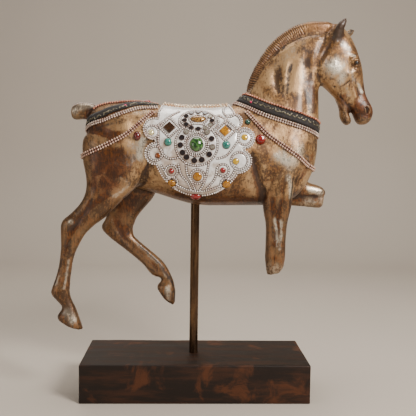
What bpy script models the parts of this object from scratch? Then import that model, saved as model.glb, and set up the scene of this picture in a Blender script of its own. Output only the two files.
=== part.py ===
"""A horse figure with a jewelled saddle cloth and beaded harness, held by a rod over a wooden block.

Metres, +Z up. The origin is the centre of the block's underside, and the horse faces +X.
The figure's tables are written in shares, the 384th parts of its length from tail stub to muzzle.
"""

import math

import bmesh
import bpy
import numpy as np
from mathutils import Matrix, Vector
from mathutils.bvhtree import BVHTree

# Stand
BASE_LENGTH = 0.270
BASE_DEPTH = 0.105
BASE_HEIGHT = 0.046
BASE_EDGE = 0.0016
ROD_DIAMETER = 0.0105
ROD_X = -0.002
ROD_SHOWN = 0.183
ROD_IN_BASE = 0.030
ROD_IN_FIGURE = 0.040
ROD_SIDES = 24

# Figure
FIGURE_LENGTH = 0.384
SHARE = FIGURE_LENGTH / 384
ROD_ENTRY = (-2, 229)
FIGURE_GRAIN = 1.6 * SHARE
FIGURE_TRIANGLES = 4300
FIGURE_SMOOTHING = 5
MASS_SIDES = (24, 16)
RING_SIDES = 28
RING_ROUNDNESS = 0.88
RING_STEPS = 4

# Harness and stones
CLEARANCE = 0.0003
STANDOFF = 0.0008
COLLAR_GAP = 0.0008
SADDLE_THICKNESS = 0.0011
BAND_THICKNESS = 0.0012
CORD_THICKNESS = 0.0024
STRAP_THICKNESS = 0.0026
STRAP_WIDTH = 0.0062
BAND_WIDTH = 0.0105
COLLAR_CORD_WIDTH = 0.0034
COLLAR_TRIM_WIDTH = 0.0056
CRUPPER_WIDTH = 0.0074
CRUPPER_CORD_WIDTH = 0.0030
HARNESS_STEP = 0.0092
LINE_STEPS = 12
CUT_REACH = 0.080
LOBE_SIDES = 16
SEAT_RINGS = (1, 0.75, 0.5, 0.25)
SEAT_RAYS = 16
PLATE_TOP = 0.86
CUT_STONE_TOP = 0.56

# Each station is one ring: the point on the front or upper outline (x, z), the point on the back or
# lower outline (x, z), the ring's middle y, its half width, and how much wider it is at the first point.
TORSO = (
    (-131, 332, -131, 292, 0, 15, 0),
    (-125, 343, -125, 276, 0, 27, 0),
    (-112, 349.5, -112, 264, 0, 36, 0),
    (-92, 352, -92, 254, 0, 41, 0),
    (-70, 352, -70, 248, 0, 42, 0),
    (-48, 349, -48, 242, 0, 41, -0.04),
    (-25, 346, -25, 235, 0, 42.5, -0.06),
    (0, 345.5, 0, 229, 0, 44, -0.08),
    (28, 347, 28, 228.5, 0, 44, -0.10),
    (54, 352, 54, 229, 0, 42, -0.12),
    (78, 354, 80, 229.5, 0, 39, -0.12),
    (98, 350, 102, 232, 0, 37, -0.10),
    (114, 340, 118, 239, 0, 33, -0.06),
    (128, 326, 131, 253, 0, 27, 0),
    (138, 314, 140, 272, 0, 18, 0),
    (142, 303, 143.5, 288, 0, 9, 0),
)
NECK = (
    (34, 340, 134, 262, 0, 37, -0.15),
    (44, 352, 144, 290, 0, 33, -0.20),
    (54, 362, 145, 312, 0, 29, -0.25),
    (62, 374, 146, 330, 0, 25, -0.28),
    (71, 389, 146, 346, 0, 21.5, -0.28),
    (82, 403, 145.5, 358, 0, 19, -0.26),
    (96, 418, 145, 368, 0, 17.5, -0.24),
    (113, 431, 147, 376, 0, 16.5, -0.22),
    (132, 438, 152, 384, 0, 15.5, -0.20),
    (150, 441, 162, 392, 0, 13, -0.15),
)
MANE = (
    (57, 369, 67, 364, 0, 4.2, 0),
    (62, 386, 74, 380, 0, 5.2, 0),
    (70, 402, 82, 394, 0, 5.6, 0),
    (79, 416.5, 91, 406, 0, 5.8, 0),
    (89, 428.5, 100, 415, 0, 6, 0),
    (100, 437.5, 108, 422, 0, 6, 0),
    (112, 445, 117, 428, 0, 6.2, 0),
    (126, 450, 129, 433, 0, 6.4, 0),
    (140, 452, 142, 434, 0, 6.5, 0),
    (154, 452, 152, 434, 0, 6.2, 0),
    (163, 449, 158, 434, 0, 5, 0),
)
HEAD = (
    (166, 450, 148, 430, 0, 10.5, 0),
    (176, 442, 142, 416, 0, 14.5, 0),
    (185, 430, 141, 401, 0, 16.5, 0),
    (191.5, 416, 143, 388, 0, 17, 0),
    (196.5, 402, 148, 377, 0, 16.5, -0.05),
    (199, 389, 157, 369, 0, 14.5, -0.08),
    (200.5, 377, 165, 361, 0, 12.5, -0.06),
    (203, 366, 173, 353, 0, 11, 0),
    (207.5, 357, 181, 350, 0, 11, 0.04),
    (211.5, 350, 186, 345, 0, 11.8, 0.02),
    (212.5, 342, 189.5, 338, 0, 11.2, 0),
    (209.5, 334, 192.5, 332, 0, 9.6, 0),
    (204, 329.5, 197, 328.5, 0, 6, 0),
)
LOWER_JAW = (
    (188, 366, 160, 368, 0, 11, 0),
    (185, 355, 168, 357, 0, 9.5, 0),
    (182.5, 346, 171.5, 346, 0, 8.6, 0),
    (184.5, 338.5, 172, 338.5, 0, 8.2, 0),
    (187, 333, 175, 332.5, 0, 8, 0),
    (184, 328.5, 179, 328, 0, 5, 0),
)
NEAR_HIND_LEG = (
    (-74, 324, -114, 326, -15, 12, 0),
    (-54, 305, -133, 308, -23, 20, 0),
    (-56, 280, -134.5, 284, -23.5, 20, 0),
    (-64, 259, -131.5, 267, -24, 18.5, 0),
    (-80, 242.5, -130, 254, -24, 16, 0),
    (-95.5, 227.5, -132, 241, -24, 13.5, 0),
    (-108, 214.5, -138, 230, -24, 11.5, 0),
    (-120, 205.5, -147, 220, -24, 9.6, 0),
    (-130.5, 195, -159, 209, -24, 8.6, -0.15),
    (-138, 182.5, -160, 195, -24, 8.2, -0.15),
    (-144, 169, -160, 177, -24, 7.2, 0),
    (-147.5, 152, -162.5, 157, -24, 6.4, 0),
    (-149, 136, -167, 140, -24, 6.6, 0),
    (-149.5, 124, -172, 124.5, -24, 7.6, 0),
    (-147, 115.5, -166.5, 116.5, -24, 7, 0),
    (-143.5, 108.5, -159, 108.5, -24, 6.6, 0),
    (-141, 102, -160.5, 102.5, -24, 7.6, 0),
    (-138.5, 95, -164.5, 97, -24, 9.2, 0),
    (-136, 87, -163, 91.5, -24, 10, 0),
    (-133.5, 79.5, -152, 85, -24, 9.6, 0),
)
FAR_HIND_LEG = (
    (-74, 324, -114, 326, 15, 12, 0),
    (-52, 303, -131, 308, 23, 20, 0),
    (-47, 278, -130, 284, 23.5, 20, 0),
    (-47, 256, -126, 266, 24, 18.5, 0),
    (-53, 238, -118, 250, 24, 15.5, 0),
    (-65, 223, -112, 235, 24, 12.6, 0),
    (-74, 211.5, -111, 221, 24, 10.8, 0),
    (-78.5, 200.5, -114, 209, 24, 9.2, 0),
    (-79.5, 194.5, -119, 197.5, 24, 8.4, -0.15),
    (-78.5, 189, -111, 187, 24, 8.2, -0.15),
    (-75, 184, -97, 176, 24, 7.8, 0),
    (-65, 175.5, -81, 163.5, 24, 7.2, 0),
    (-52, 165, -67, 151.5, 24, 6.8, 0),
    (-41, 155, -58, 140.5, 24, 7.4, 0),
    (-34, 144.5, -53, 136.5, 24, 7.2, 0),
    (-29.5, 135, -44, 134.5, 24, 6.4, 0),
    (-27, 128, -44, 130, 24, 7.2, 0),
    (-25.5, 121, -48.5, 124.5, 24, 9, 0),
    (-25, 112, -48, 119.5, 24, 9.8, 0),
    (-26, 99, -40, 107.5, 24, 9, 0),
)
NEAR_FORELEG = (
    (112, 332, 74, 334, -17, 12, 0),
    (130, 306, 70, 308, -20, 16, 0),
    (129, 283, 69, 286, -22, 16.5, 0),
    (117, 264, 74, 264, -23.5, 16, 0),
    (113.5, 246, 77, 244, -24, 14.5, 0),
    (111.5, 229, 78, 227, -24, 13, 0),
    (107.5, 210, 81.5, 208, -24, 11.5, 0),
    (106, 191, 82, 190, -24, 10.5, 0),
    (106, 173, 81.5, 171, -24, 10, 0),
    (104.5, 157, 82, 156, -24, 9.4, 0),
    (99, 148.5, 84, 147.5, -24, 7.4, 0),
)
FAR_FORELEG = (
    (110, 328, 74, 332, 18, 12, 0),
    (128, 304, 72, 300, 20, 16, 0),
    (134, 280, 80, 268, 22, 16.5, 0),
    (134, 264, 100, 242, 23.5, 14, 0),
    (141, 257.5, 122, 235, 24, 11.5, 0),
    (151, 254.5, 142, 236.5, 24, 9.5, 0),
    (159, 251, 153, 237, 24, 8.2, 0),
    (163.5, 245, 160.5, 239.5, 24, 5.5, 0),
)
FAR_CANNON = (
    (162, 241, 160, 229, 24, 6.6, 0),
    (155, 241, 155.5, 224.5, 24, 8.2, 0),
    (142, 240.5, 140, 226, 24, 7.6, 0),
    (128, 240, 126, 227, 24, 7.4, 0),
    (113, 240, 113, 228.5, 24, 6.6, 0),
)
TAIL = (
    (-112, 345, -116, 324, 0, 11, 0),
    (-126, 349, -128, 329.5, 0, 9.6, 0),
    (-139, 350.5, -138, 330, 0, 9.2, 0),
    (-148, 348, -147.5, 329, 0, 9, 0),
    (-152, 342, -151.5, 333, 0, 6.5, 0),
)
NEAR_EAR = (
    (172, 431, 156, 427, -10, 5, 0),
    (170.5, 439, 159, 437, -12.5, 4.6, 0),
    (172, 446, 163, 445, -14, 3.8, 0),
    (174, 450.5, 168.5, 450.5, -15, 2.8, 0),
    (175, 454.5, 172, 454.5, -15.5, 1.6, 0),
)
FAR_EAR = (
    (169, 427, 182, 430, 9, 5, 0),
    (172, 436, 184, 436, 12, 4.4, 0),
    (178.5, 441, 188.5, 440.5, 14, 3.4, 0),
    (185, 445, 191, 443.5, 15.5, 2.4, 0),
    (189.5, 447.5, 192, 446, 16, 1.4, 0),
)
LIMBS = (
    TORSO, NECK, MANE, HEAD, LOWER_JAW, TAIL, NEAR_EAR, FAR_EAR,
    NEAR_HIND_LEG, FAR_HIND_LEG, NEAR_FORELEG, FAR_FORELEG, FAR_CANNON,
)  # fmt: skip

# Round masses that stand on both sides: middle (x, z, y) and half sizes along x, z and y.
MASSES = (
    ((160, 395, 9), (20, 20.5, 9)),
    ((187, 402, 12.5), (5.5, 4.6, 4.6)),
    ((203, 347, 8), (6, 6.5, 4.6)),
    ((109, 288, 22), (20, 22, 16)),
    ((-88, 312, 20), (34, 30, 23)),
)

# Strokes sink the surface (or swell it, where the depth is negative) along a line of (x, z) points.
# Each has the side that it lies on (-1 near, 1 far, 0 both), its reach, its depth and its points.
STROKES = (
    (0, 5, 2.6, ((62, 288), (68, 268), (73, 252), (77, 242))),
    (0, 6, 2.2, ((-50, 290), (-54, 272), (-62, 258), (-74, 247))),
    (0, 4, 1.5, ((97, 405), (93, 388), (92, 372))),
    (0, 4, 1.6, ((88, 398), (90, 378), (94, 364))),
    (0, 6, 1.8, ((126, 398), (128, 372), (129, 340))),
    (0, 3, 1.8, ((150, 432), (141, 412), (138, 395), (141, 380))),
    (0, 3, 1.2, ((163, 378), (170, 381), (176, 385))),
    (0, 3.5, 1.8, ((181, 398), (186, 395.5), (191, 398))),
    (0, 2.2, 1.8, ((204, 351), (207, 347), (205.5, 343.5))),
    (0, 5, 1.5, ((193, 372), (196, 361))),
    (0, 7, 1.6, ((118, 262), (126, 278), (130, 296))),
    (-1, 3.5, 1.2, ((-137, 214), (-146, 200), (-150, 184), (-153, 160))),
    (1, 3.5, 1.2, ((-98, 208), (-100, 194), (-86, 180), (-64, 160))),
    (-1, 4, 1.3, ((88, 240), (92, 214), (93, 186), (92, 168))),
)

# The saddle cloth's outline: a panel over the back and the round lobes that stand out of it.
SADDLE_PANEL = (
    (-43, 362), (-46, 338), (-51, 326), (-44, 296), (44, 296), (49, 326), (42, 338), (35, 362),
)  # fmt: skip
SADDLE_LOBES = (
    (1, 294, 51),
    (-51, 318, 12),
    (-49, 290, 12),
    (53, 309, 11.5),
    (47, 283, 13.5),
    (42, 328, 8.5),
)

# Lines that the middles of the harness follow on the near side, as (x, z, y) points close to the skin.
# The collar's line runs from the withers to the chest, and the straps' lines to the middle of chest or
# rump. The crupper's upper edge ends beside the tail.
COLLAR_LINE = (
    (48.5, 359, 0), (54, 356, -10), (63, 352, -18), (78, 345.5, -25), (94.5, 340, -28),
    (111, 335, -29), (128, 329.5, -26), (139, 325, -17), (145, 322.5, -7), (146, 322, 0),
)  # fmt: skip
BREAST_LINE = (
    (56, 340, -25.5), (66, 328.5, -31.5), (78, 316, -35), (90, 307, -36), (106.5, 296, -37),
    (120, 286.5, -35), (133, 277.5, -23), (140, 274.5, -10), (142.5, 273.5, 0),
)  # fmt: skip
HIP_LINE = (
    (-53, 337.5, -28), (-62.5, 329, -35), (-75, 317.5, -40.5), (-88, 308, -42.5), (-105, 299, -43),
    (-123, 291, -38.5), (-134, 285.5, -24), (-136, 284, 0),
)  # fmt: skip
CRUPPER_LINE = (
    (-49, 346.5, -12), (-70, 347.5, -18.5), (-85, 344, -25), (-98, 340, -28), (-112, 335, -31),
    (-121, 330.5, -27), (-129.5, 325.5, -16), (-133, 321.5, -7), (-133.5, 320.5, 0),
)  # fmt: skip
CRUPPER_TRIM_LINE = (
    (-49, 342.5, -19.5), (-70, 341.5, -27.5), (-82, 338, -32), (-95, 332.5, -36), (-110, 327.5, -35.5),
    (-121, 324, -30), (-129.5, 319, -17), (-133, 315.5, -7), (-133.5, 314.5, 0),
)  # fmt: skip
CRUPPER_EDGE_LINE = (
    (-49, 348.8, -5), (-70, 351.5, -8), (-84, 350.5, -12), (-98, 348.5, -14), (-110, 346, -14),
    (-122, 341.5, -13),
)  # fmt: skip
TAUT_ACROSS = 13

# Stones on the side panels: shape, place (x, z), width, height and how far each stands out, in metres.
STONES = {
    "green_cabochon": ("dome", (-2.1, 301.1), 0.0158, 0.0168, 0.0052, 14),
    "oval_stone": ("dome", (-0.5, 330.5), 0.0168, 0.0094, 0.0030, 12),
    "brown_diamond": ("square", (-33.4, 319.9), 0.0158, 0.0158, 0.0022, 4),
    "amber_diamond": ("square", (30.4, 316.8), 0.0148, 0.0148, 0.0022, 4),
    "turquoise_rear": ("dome", (-34.7, 303.4), 0.0086, 0.0090, 0.0034, 8),
    "turquoise_front": ("dome", (31.9, 301.1), 0.0090, 0.0094, 0.0034, 8),
    "red_bead_rear": ("dome", (-30.6, 270.3), 0.0060, 0.0060, 0.0026, 8),
    "red_bead_front": ("dome", (28.4, 272.1), 0.0060, 0.0060, 0.0026, 8),
    "amber_middle": ("dome", (-0.6, 264.4), 0.0100, 0.0100, 0.0022, 8),
    "amber_front": ("dome", (32.8, 256.3), 0.0098, 0.0098, 0.0022, 8),
    "amber_rear": ("dome", (-29.9, 256.7), 0.0094, 0.0094, 0.0022, 8),
    "yellow_mirror_low": ("dome", (43.1, 282.4), 0.0070, 0.0070, 0.0014, 8),
    "yellow_mirror_high": ("dome", (53.0, 310.1), 0.0070, 0.0070, 0.0014, 8),
    "pale_mirror": ("dome", (-54.2, 314.0), 0.0064, 0.0064, 0.0014, 8),
    "orange_mirror": ("dome", (-46.6, 287.7), 0.0058, 0.0058, 0.0014, 8),
    "red_oval_stone": ("dome", (-2.0, 242.0), 0.0136, 0.0084, 0.0040, 10),
    "red_faceted_stone": ("facets", (71.8, 308.0), 0.0126, 0.0128, 0.0048, 8),
    "dark_green_bead": ("dome", (57.2, 328.0), 0.0062, 0.0062, 0.0030, 8),
    "dark_red_stone": ("dome", (-70.0, 309.8), 0.0078, 0.0100, 0.0034, 8),
}
CROUP_STONE = ("dome", (-61, 352), 0.0100, 0.0084, 0.0034, 10)
SIDES = {"near": -1, "far": 1}

COLOURS = {
    "champagne_leaf": ((0.55, 0.40, 0.22, 1), 0.35, 0.85),
    "dark_bronze": ((0.10, 0.06, 0.03, 1), 0.45, 0.80),
    "espresso_wood": ((0.035, 0.020, 0.013, 1), 0.50, 0.0),
    "silver_sheet": ((0.72, 0.70, 0.66, 1), 0.30, 0.90),
    "black_velvet": ((0.015, 0.014, 0.014, 1), 0.85, 0.0),
    "copper_beads": ((0.42, 0.16, 0.11, 1), 0.35, 0.30),
    "pearl_beads": ((0.70, 0.60, 0.52, 1), 0.35, 0.10),
    "ball_chain": ((0.55, 0.40, 0.32, 1), 0.35, 0.60),
    "green_glass": ((0.02, 0.30, 0.08, 1), 0.10, 0.0),
    "turquoise": ((0.02, 0.32, 0.26, 1), 0.25, 0.0),
    "red_glass": ((0.38, 0.015, 0.015, 1), 0.12, 0.0),
    "amber_glass": ((0.62, 0.36, 0.03, 1), 0.12, 0.0),
    "brown_glass": ((0.20, 0.10, 0.03, 1), 0.15, 0.0),
}
STONE_COLOURS = {
    "green_cabochon": "green_glass",
    "dark_green_bead": "turquoise",
    "turquoise_rear": "turquoise",
    "turquoise_front": "turquoise",
    "oval_stone": "brown_glass",
    "brown_diamond": "brown_glass",
    "orange_mirror": "brown_glass",
    "red_bead_rear": "red_glass",
    "red_bead_front": "red_glass",
    "red_oval_stone": "red_glass",
    "red_faceted_stone": "red_glass",
    "dark_red_stone": "red_glass",
}


def place(x, z, y=0.0):
    """A point written in the figure's shares, in world coordinates."""
    top = BASE_HEIGHT + ROD_SHOWN
    return Vector((ROD_X + (x - ROD_ENTRY[0]) * SHARE, y * SHARE, top + (z - ROD_ENTRY[1]) * SHARE))


def clear_scene():
    for obj in list(bpy.data.objects):
        bpy.data.objects.remove(obj, do_unlink=True)


def new_collection(name, hidden=False):
    collection = bpy.data.collections.new(name)
    collection.hide_render = hidden
    bpy.context.scene.collection.children.link(collection)
    return collection


def material(name):
    """The Principled material of this name, with its colour, roughness and metallic value."""
    if name in bpy.data.materials:
        return bpy.data.materials[name]
    colour, roughness, metallic = COLOURS[name]
    made = bpy.data.materials.new(name)
    made.use_nodes = True
    shader = made.node_tree.nodes["Principled BSDF"]
    shader.inputs["Base Color"].default_value = colour
    shader.inputs["Roughness"].default_value = roughness
    shader.inputs["Metallic"].default_value = metallic
    made.diffuse_color = colour
    return made


def add_object(name, mesh, collection, material_name=None):
    obj = bpy.data.objects.new(name, mesh)
    collection.objects.link(obj)
    if material_name:
        mesh.materials.clear()
        mesh.materials.append(material(material_name))
    return obj


def mesh_of(bm, name):
    mesh = bpy.data.meshes.new(name)
    bm.to_mesh(mesh)
    bm.free()
    return mesh


def evaluated_mesh(obj):
    """The object's mesh with its modifiers applied, as a new mesh."""
    bpy.context.view_layer.update()
    depsgraph = bpy.context.evaluated_depsgraph_get()
    return bpy.data.meshes.new_from_object(obj.evaluated_get(depsgraph))


def boolean(obj, cutter, operation):
    """Cuts the object with a cutter, which stays in the file as a wire shape that isn't part of the model."""
    cutter.hide_render = True
    cutter.display_type = "WIRE"
    step = obj.modifiers.new(f"{operation.title()} {cutter.name}", "BOOLEAN")
    step.operation = operation
    step.object = cutter
    step.solver = "EXACT"


def between(a, b, c, d, t):
    """Catmull-Rom value between b and c."""
    return 0.5 * (2 * b + (c - a) * t + (2 * a - 5 * b + 4 * c - d) * t**2 + (3 * b - a - 3 * c + d) * t**3)


def smooth_stations(stations):
    """The stations with RING_STEPS rings from each to the next, on a smooth curve."""
    ends = (stations[0], *stations, stations[-1])
    rings = []
    for a, b, c, d in zip(ends, ends[1:], ends[2:], ends[3:]):
        for step in range(RING_STEPS):
            t = step / RING_STEPS
            rings.append([between(*values, t) for values in zip(a, b, c, d)])
    rings.append(stations[-1])
    return rings


def add_loft(bm, stations):
    """A closed body through rings of unlike size and slant, added to the figure's cage."""
    rings = []
    for front_x, front_z, back_x, back_z, middle_y, half, taper in smooth_stations(stations):
        ring = []
        for number in range(RING_SIDES):
            angle = 2 * math.pi * number / RING_SIDES
            along = math.copysign(abs(math.cos(angle)) ** RING_ROUNDNESS, math.cos(angle))
            across = math.copysign(abs(math.sin(angle)) ** RING_ROUNDNESS, math.sin(angle))
            x = (front_x + back_x + (front_x - back_x) * along) / 2
            z = (front_z + back_z + (front_z - back_z) * along) / 2
            y = middle_y + half * across * (1 + taper * along)
            ring.append(bm.verts.new(place(x, z, y)))
        rings.append(ring)
    for lower, upper in zip(rings, rings[1:]):
        for number in range(RING_SIDES):
            after = (number + 1) % RING_SIDES
            bm.faces.new((lower[number], lower[after], upper[after], upper[number]))
    bm.faces.new(rings[0][::-1])
    bm.faces.new(rings[-1])


def add_mass(bm, middle, sizes, side):
    """A round mass of the figure, on one side of it."""
    x, z, y = middle
    shape = Matrix.Diagonal((sizes[0] * SHARE, sizes[2] * SHARE, sizes[1] * SHARE, 1))
    spot = Matrix.Translation(place(x, z, side * y))
    around, along = MASS_SIDES
    bmesh.ops.create_uvsphere(bm, u_segments=around, v_segments=along, radius=1, matrix=spot @ shape)


def distance_to_line(points, line):
    """Each point's distance, in the x-z plane, from a line of straight runs."""
    nearest = np.full(len(points), np.inf)
    for start, end in zip(line, line[1:]):
        run = end - start
        along = np.clip((points - start) @ run / (run @ run), 0, 1)
        nearest = np.minimum(nearest, np.linalg.norm(points - start - along[:, None] * run, axis=1))
    return nearest


def carve(mesh):
    """Sinks the strokes' creases into the figure and swells its raised lines."""
    count = len(mesh.vertices)
    places = np.empty(count * 3)
    normals = np.empty(count * 3)
    mesh.vertices.foreach_get("co", places)
    mesh.vertices.foreach_get("normal", normals)
    places = places.reshape(-1, 3)
    normals = normals.reshape(-1, 3)
    for side, reach, depth, line in STROKES:
        points = np.array([place(x, z) for x, z in line])[:, (0, 2)]
        fade = np.exp(-((distance_to_line(places[:, (0, 2)], points) / (reach * SHARE)) ** 2))
        facing = np.abs(normals[:, 1])
        outward = normals[:, 1] * np.sign(places[:, 1]) > 0
        chosen = outward if side == 0 else outward & (places[:, 1] * side > 0)
        places -= normals * (depth * SHARE * fade * facing * chosen)[:, None]
    mesh.vertices.foreach_set("co", places.ravel())
    mesh.update()


def figure_mesh(cutters):
    """The cast figure as one skin of few facets, and a search tree over the fine skin that it comes from."""
    bm = bmesh.new()
    for stations in LIMBS:
        add_loft(bm, stations)
    for middle, sizes in MASSES:
        for side in SIDES.values():
            add_mass(bm, middle, sizes, side)
    bmesh.ops.recalc_face_normals(bm, faces=bm.faces)
    cage = add_object("figure_cage", mesh_of(bm, "figure_cage"), cutters)
    merge = cage.modifiers.new("Merge", "REMESH")
    merge.mode = "VOXEL"
    merge.voxel_size = FIGURE_GRAIN
    merge.adaptivity = 0
    soften = cage.modifiers.new("Soften", "SMOOTH")
    soften.factor = 0.5
    soften.iterations = FIGURE_SMOOTHING
    skin = evaluated_mesh(cage)
    carve(skin)
    bpy.data.objects.remove(cage)
    fine = surface_tree([skin])
    carved = add_object("figure_skin", skin, cutters)
    triangulate = carved.modifiers.new("Triangles", "TRIANGULATE")
    triangulate.quad_method = "BEAUTY"
    reduce = carved.modifiers.new("Reduce", "DECIMATE")
    reduce.ratio = FIGURE_TRIANGLES / (2 * len(skin.polygons))
    mesh = evaluated_mesh(carved)
    bpy.data.objects.remove(carved)
    mesh.name = "horse"
    return mesh, fine


def inflated(mesh, distance, name):
    """A copy of the figure's mesh, moved outward by one distance everywhere."""
    bm = bmesh.new()
    bm.from_mesh(mesh)
    bm.normal_update()
    moves = [(vertex, vertex.normal * vertex.calc_shell_factor() * distance) for vertex in bm.verts]
    for vertex, move in moves:
        vertex.co += move
    return mesh_of(bm, name)


def prism(outline, name, collection):
    """A flat outline of world (x, z) points, made into a block that runs right through the figure."""
    bm = bmesh.new()
    face = bm.faces.new([bm.verts.new((x, -CUT_REACH, z)) for x, z in outline])
    swept = bmesh.ops.extrude_face_region(bm, geom=[face])
    moved = [item for item in swept["geom"] if isinstance(item, bmesh.types.BMVert)]
    bmesh.ops.translate(bm, verts=moved, vec=(0, 2 * CUT_REACH, 0))
    bmesh.ops.recalc_face_normals(bm, faces=bm.faces)
    return add_object(name, mesh_of(bm, name), collection)


def resampled(points, closed):
    """The points of a fine line at even steps of about HARNESS_STEP."""
    points = points + [points[0]] if closed else points
    lengths = [0.0]
    for first, second in zip(points, points[1:]):
        lengths.append(lengths[-1] + (second - first).length)
    count = max(2, round(lengths[-1] / HARNESS_STEP))
    wanted = [lengths[-1] * number / count for number in range(count if closed else count + 1)]
    found = []
    for length in wanted:
        number = min(max(int(np.searchsorted(lengths, length)), 1), len(points) - 1)
        share = (length - lengths[number - 1]) / (lengths[number] - lengths[number - 1])
        found.append(points[number - 1].lerp(points[number], share))
    return found


def wrapped_line(skin, line, closed=False, mirrored=True):
    """A harness line laid on the skin: the near side's points and, where mirrored, the far side's."""
    ends = (line[0], *line, line[-1])
    fine = []
    for a, b, c, d in zip(ends, ends[1:], ends[2:], ends[3:]):
        for step in range(LINE_STEPS):
            fine.append(place(*[between(*values, step / LINE_STEPS) for values in zip(a, b, c, d)]))
    fine.append(place(*line[-1]))
    if mirrored:
        far = [Vector((point.x, -point.y, point.z)) for point in fine[-2::-1]]
        fine = fine + (far[:-1] if closed else far)
    return resampled([skin.find_nearest(point)[0] for point in fine], closed)


def standing(skin, first, second):
    """How far the skin stands above the middle of a straight run between two points on it."""
    middle = (first + second) / 2
    spot, outward = skin.find_nearest(middle)[:2]
    return max(0, (spot - middle).dot(outward))


def strip_stations(skin, line, edges, closed):
    """For each point of a harness line: the skin's points under both edges, and the way out of the skin."""
    stations = []
    count = len(line)
    for number, point in enumerate(line):
        before = line[number - 1] if closed or number else point
        after = line[(number + 1) % count] if closed or number < count - 1 else point
        outward = skin.find_nearest(point)[1]
        across = outward.cross(after - before).normalized()
        if across.z < 0:
            across = -across
        low, low_out = skin.find_nearest(point + across * edges[0])[:2]
        high, high_out = skin.find_nearest(point + across * edges[1])[:2]
        stations.append((low, high, (low_out + high_out + outward).normalized()))
    return stations


def make_strip(name, skin, line, edges, thickness, material_name, parts, closed=False, taut=0):
    """A band of even thickness on the skin, between two distances beside its line."""
    if taut:
        line = [point for point in line if abs(point.y) > taut * SHARE]
    stations = strip_stations(skin, line, edges, closed)
    count = len(stations)
    pairs = [(number, (number + 1) % count) for number in range(count if closed else count - 1)]
    lifts = [STANDOFF] * count
    for first, second in pairs:
        runs = [standing(skin, stations[first][side], stations[second][side]) for side in (0, 1)]
        for number in (first, second):
            lifts[number] = max(lifts[number], STANDOFF + max(runs))
    bm = bmesh.new()
    rings = []
    for (low, high, outward), lift in zip(stations, lifts):
        inside = outward * lift
        outside = outward * (lift + thickness)
        corners = (low + inside, high + inside, high + outside, low + outside)
        rings.append([bm.verts.new(corner) for corner in corners])
    if not closed:
        bm.faces.new(rings[0][::-1])
        bm.faces.new(rings[-1])
    for first, second in pairs:
        for number in range(4):
            after = (number + 1) % 4
            near, far = rings[first], rings[second]
            bm.faces.new((near[number], near[after], far[after], far[number]))
    bmesh.ops.recalc_face_normals(bm, faces=bm.faces)
    return add_object(name, mesh_of(bm, name), parts, material_name)


def saddle_outline(cutters):
    """The saddle cloth's outline block: the panel joined with its lobes."""
    panel = prism([place(x, z).xz for x, z in SADDLE_PANEL], "saddle_outline", cutters)
    bm = bmesh.new()
    turn = Matrix.Rotation(math.pi / 2, 4, "X")
    for x, z, radius in SADDLE_LOBES:
        sides = 2 * LOBE_SIDES if radius > 20 else LOBE_SIDES
        bmesh.ops.create_cone(
            bm, cap_ends=True, segments=sides, radius1=radius * SHARE, radius2=radius * SHARE,
            depth=2 * CUT_REACH, matrix=Matrix.Translation(place(x, z)) @ turn,
        )  # fmt: skip
    lobes = add_object("saddle_lobes", mesh_of(bm, "saddle_lobes"), cutters)
    boolean(panel, lobes, "UNION")
    panel.modifiers[-1].use_self = True
    return panel


def make_saddle(figure, parts, cutters):
    """The embossed sheet that lies over the back and down both flanks."""
    outside = inflated(figure, CLEARANCE + SADDLE_THICKNESS, "saddle")
    obj = add_object("saddle", outside, parts, "silver_sheet")
    skin = add_object("saddle_inside", inflated(figure, CLEARANCE, "saddle_inside"), cutters)
    boolean(obj, saddle_outline(cutters), "INTERSECT")
    boolean(obj, skin, "DIFFERENCE")
    return obj


def make_harness(skin, parts):
    """The collar and crupper bands with their bead cords, the breast strap and the hip strap."""
    band = BAND_WIDTH / 2
    crupper = CRUPPER_WIDTH / 2
    strap = STRAP_WIDTH / 2
    cord = CRUPPER_CORD_WIDTH
    above_band = (band + COLLAR_GAP, band + COLLAR_GAP + COLLAR_CORD_WIDTH)
    below_band = (-band - COLLAR_GAP - COLLAR_TRIM_WIDTH, -band - COLLAR_GAP)
    collar = wrapped_line(skin, COLLAR_LINE, closed=True)
    breast = wrapped_line(skin, BREAST_LINE)
    hip = wrapped_line(skin, HIP_LINE)
    rump = wrapped_line(skin, CRUPPER_LINE)
    below_rump = wrapped_line(skin, CRUPPER_TRIM_LINE)
    near_edge = wrapped_line(skin, CRUPPER_EDGE_LINE, mirrored=False)
    far_edge = wrapped_line(skin, [(x, z, -y) for x, z, y in CRUPPER_EDGE_LINE], mirrored=False)
    edge = (-cord / 2, cord / 2)
    pieces = (
        ("collar_band", collar, (-band, band), BAND_THICKNESS, "black_velvet", True, 0),
        ("collar_cord", collar, above_band, CORD_THICKNESS, "copper_beads", True, 0),
        ("collar_trim", collar, below_band, CORD_THICKNESS, "pearl_beads", True, 0),
        ("breast_strap", breast, (-strap, strap), STRAP_THICKNESS, "ball_chain", False, 0),
        ("hip_strap", hip, (-strap, strap), STRAP_THICKNESS, "ball_chain", False, TAUT_ACROSS),
        ("crupper_band", rump, (-crupper, crupper), BAND_THICKNESS, "black_velvet", False, 0),
        ("crupper_trim", below_rump, edge, CORD_THICKNESS, "pearl_beads", False, 0),
        ("crupper_cord_near", near_edge, edge, CORD_THICKNESS, "copper_beads", False, 0),
        ("crupper_cord_far", far_edge, edge, CORD_THICKNESS, "copper_beads", False, 0),
    )
    made = []
    for name, line, edges, thickness, colour, closed, taut in pieces:
        made.append(make_strip(name, skin, line, edges, thickness, colour, parts, closed, taut))
    return made


def surface_tree(meshes):
    """One search tree over the surfaces of these meshes."""
    bm = bmesh.new()
    for mesh in meshes:
        bm.from_mesh(mesh)
    tree = BVHTree.FromBMesh(bm)
    bm.free()
    return tree


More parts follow.
